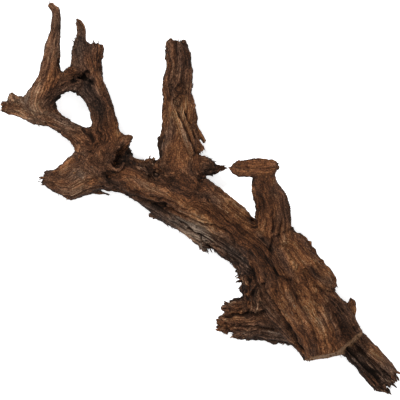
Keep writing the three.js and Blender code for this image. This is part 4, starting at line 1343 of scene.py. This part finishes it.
shade = maths("MULTIPLY_ADD", zone, SHADE["zone"], MEAN_SHADE)
streak_share = maths("MULTIPLY", attribute("streaks"), SHADE["streak"])
shade = maths("MULTIPLY_ADD", streak, streak_share, shade)
fibre_share = maths("MULTIPLY_ADD", attribute("streaks"), SHADE["fibre of streaks"],
                    SHADE["fibre"])
shade = maths("MULTIPLY_ADD", fibre, fibre_share, shade)
shade = maths("MULTIPLY_ADD", mottle, SHADE["mottle"], shade)
shade = maths("MULTIPLY_ADD", grit, SHADE["grit"], shade)
# Painted shade where the relief is low; the paler ridges stand for rubbed wood.
shade = maths("MULTIPLY_ADD", attribute("relief"), SHADE["relief"], shade)
shade = maths("ADD", shade, attribute("tone"))
cool = maths("MULTIPLY_ADD", attribute("grey"), COOL["grey"], COOL["mean"])
cool = maths("MULTIPLY_ADD", warmth, COOL["warmth"], cool)
cool = maths("MINIMUM", maths("MAXIMUM", cool, 0.0), 1.0)
body = mixed(cool, ramp(shade, WARM_SHADES), ramp(shade, COOL_SHADES))
print("shades from", WARM_SHADES[0][1], "to", WARM_SHADES[-1][1])

# %% [markdown]
# The sawn end is paler, as fresh wood is. Then the dark goes on: the deepest of the thin lines
# and the pores, and painted shade in the drawn cracks and where a hollow sees little sky. A
# shallow bump from the same patterns gives the light something to catch between the ridges that
# are in the mesh.

# %% Painted shade of the hollows, dark lines, and the finish
PALE_SAWN = 0.75
HOLLOW_SHADE_POWER = 0.8
HOLLOW_SHADE = {"fibre": -2.4, "mean": 0.85}
LINE = {"crack": 0.35, "crack of streaks": 0.35, "check": 0.75, "pore": 0.6, "cleft": 0.2}
MOST_DARK = 0.95
BUMP = {"grit": 1.6, "dark": -0.6}
BUMP_DEPTH = 1.5

pale = mixed(maths("MULTIPLY", attribute("sawn"), PALE_SAWN), body, SAWN_WOOD)
# Painted shade where a point sees little sky, broken up by the fibres.
hollow_shade = maths("SUBTRACT", 1.0, maths("POWER", attribute("openness"), HOLLOW_SHADE_POWER))
hollow_shade = maths("MULTIPLY", hollow_shade, maths("MULTIPLY_ADD", fibre, HOLLOW_SHADE["fibre"], HOLLOW_SHADE["mean"]))
crack_share = maths("MULTIPLY_ADD", attribute("streaks"), LINE["crack of streaks"],
                    LINE["crack"])
dark = maths("MAXIMUM", maths("MULTIPLY", crack, crack_share),
             maths("MULTIPLY", check, LINE["check"]))
dark = maths("MAXIMUM", dark, maths("MULTIPLY", pore, LINE["pore"]))
# Painted shade in the drawn cracks, darker where they are cut deeper.
dark = maths("MAXIMUM", dark, maths("MULTIPLY", attribute("cleft"), LINE["cleft"]))
dark = maths("MINIMUM", maths("MAXIMUM", dark, hollow_shade), MOST_DARK)
colour = mixed(dark, pale, DARKEST)
height = maths("MULTIPLY_ADD", grit, BUMP["grit"], mottle)
height = maths("ADD", height, maths("ADD", fibre, streak))
height = maths("MULTIPLY_ADD", dark, BUMP["dark"], height)
bump = add(tree, "ShaderNodeBump",
           {"Height": height, "Strength": 1.0, "Distance": BUMP_DEPTH * MM})
skin_shader = add(tree, "ShaderNodeBsdfPrincipled",
                  {"Base Color": colour, "Roughness": 0.85, "Normal": bump.outputs[0],
                   "IOR": 1.5, "Specular IOR Level": 0.12})
add(tree, "ShaderNodeOutputMaterial", {"Surface": skin_shader.outputs[0]})
for piece in (wood, torn):
    piece.data.materials.append(material)
    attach(piece, "root")
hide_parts("driftwood")
print(len(tree.nodes), "nodes in", material.name)

# %% [markdown]
# ## Light and table
# The wood lies on plain white and is lit softly from the upper left of the picture, so that a
# thin shadow shows along its lower right edges only.

# %% White table
HALF = 4.0
floor_mesh = bpy.data.meshes.new("white_table")
floor_mesh.from_pydata([(-HALF, -HALF, 0), (HALF, -HALF, 0), (HALF, HALF, 0), (-HALF, HALF, 0)],
                       [], [(0, 1, 2, 3)])
floor = bpy.data.objects.new("white_table", floor_mesh)
scene.collection.objects.link(floor)
paper = bpy.data.materials.new("matt_white_paper")
paper.use_nodes = True
# Matt white paper. It glows a little, because the table in the picture is lit to pure white.
sockets = paper.node_tree.nodes["Principled BSDF"].inputs
sockets["Base Color"].default_value = linear("#f4f4f4")
sockets["Roughness"].default_value = 0.95
sockets["Emission Color"].default_value = (1, 1, 1, 1)
sockets["Emission Strength"].default_value = 0.6
floor.data.materials.append(paper)
print("table", 2 * HALF, "m wide")

# %% Soft light
def soft_light(name, plan_place, size, watts):
    """A square area light that faces the middle of the wood; size in metres."""
    data = bpy.data.lights.new(name, "AREA")
    data.size, data.energy = size, watts
    made = bpy.data.objects.new(name, data)
    made.location = from_plan(plan_place) * MM
    aim = -made.location.normalized()
    made.rotation_euler = aim.to_track_quat("-Z", "Y").to_euler()
    scene.collection.objects.link(made)


soft_light("window", [-700, 900, 1700], 0.5, 30)
soft_light("overhead", [100, -100, 2300], 1.2, 14)
world = bpy.data.worlds.new("white_room")
world.use_nodes = True
world.node_tree.nodes["Background"].inputs["Color"].default_value = (1, 1, 1, 1)
world.node_tree.nodes["Background"].inputs["Strength"].default_value = 0.55
scene.world = world
scene.view_settings.view_transform = "Standard"
print(len(bpy.data.lights), "lights")
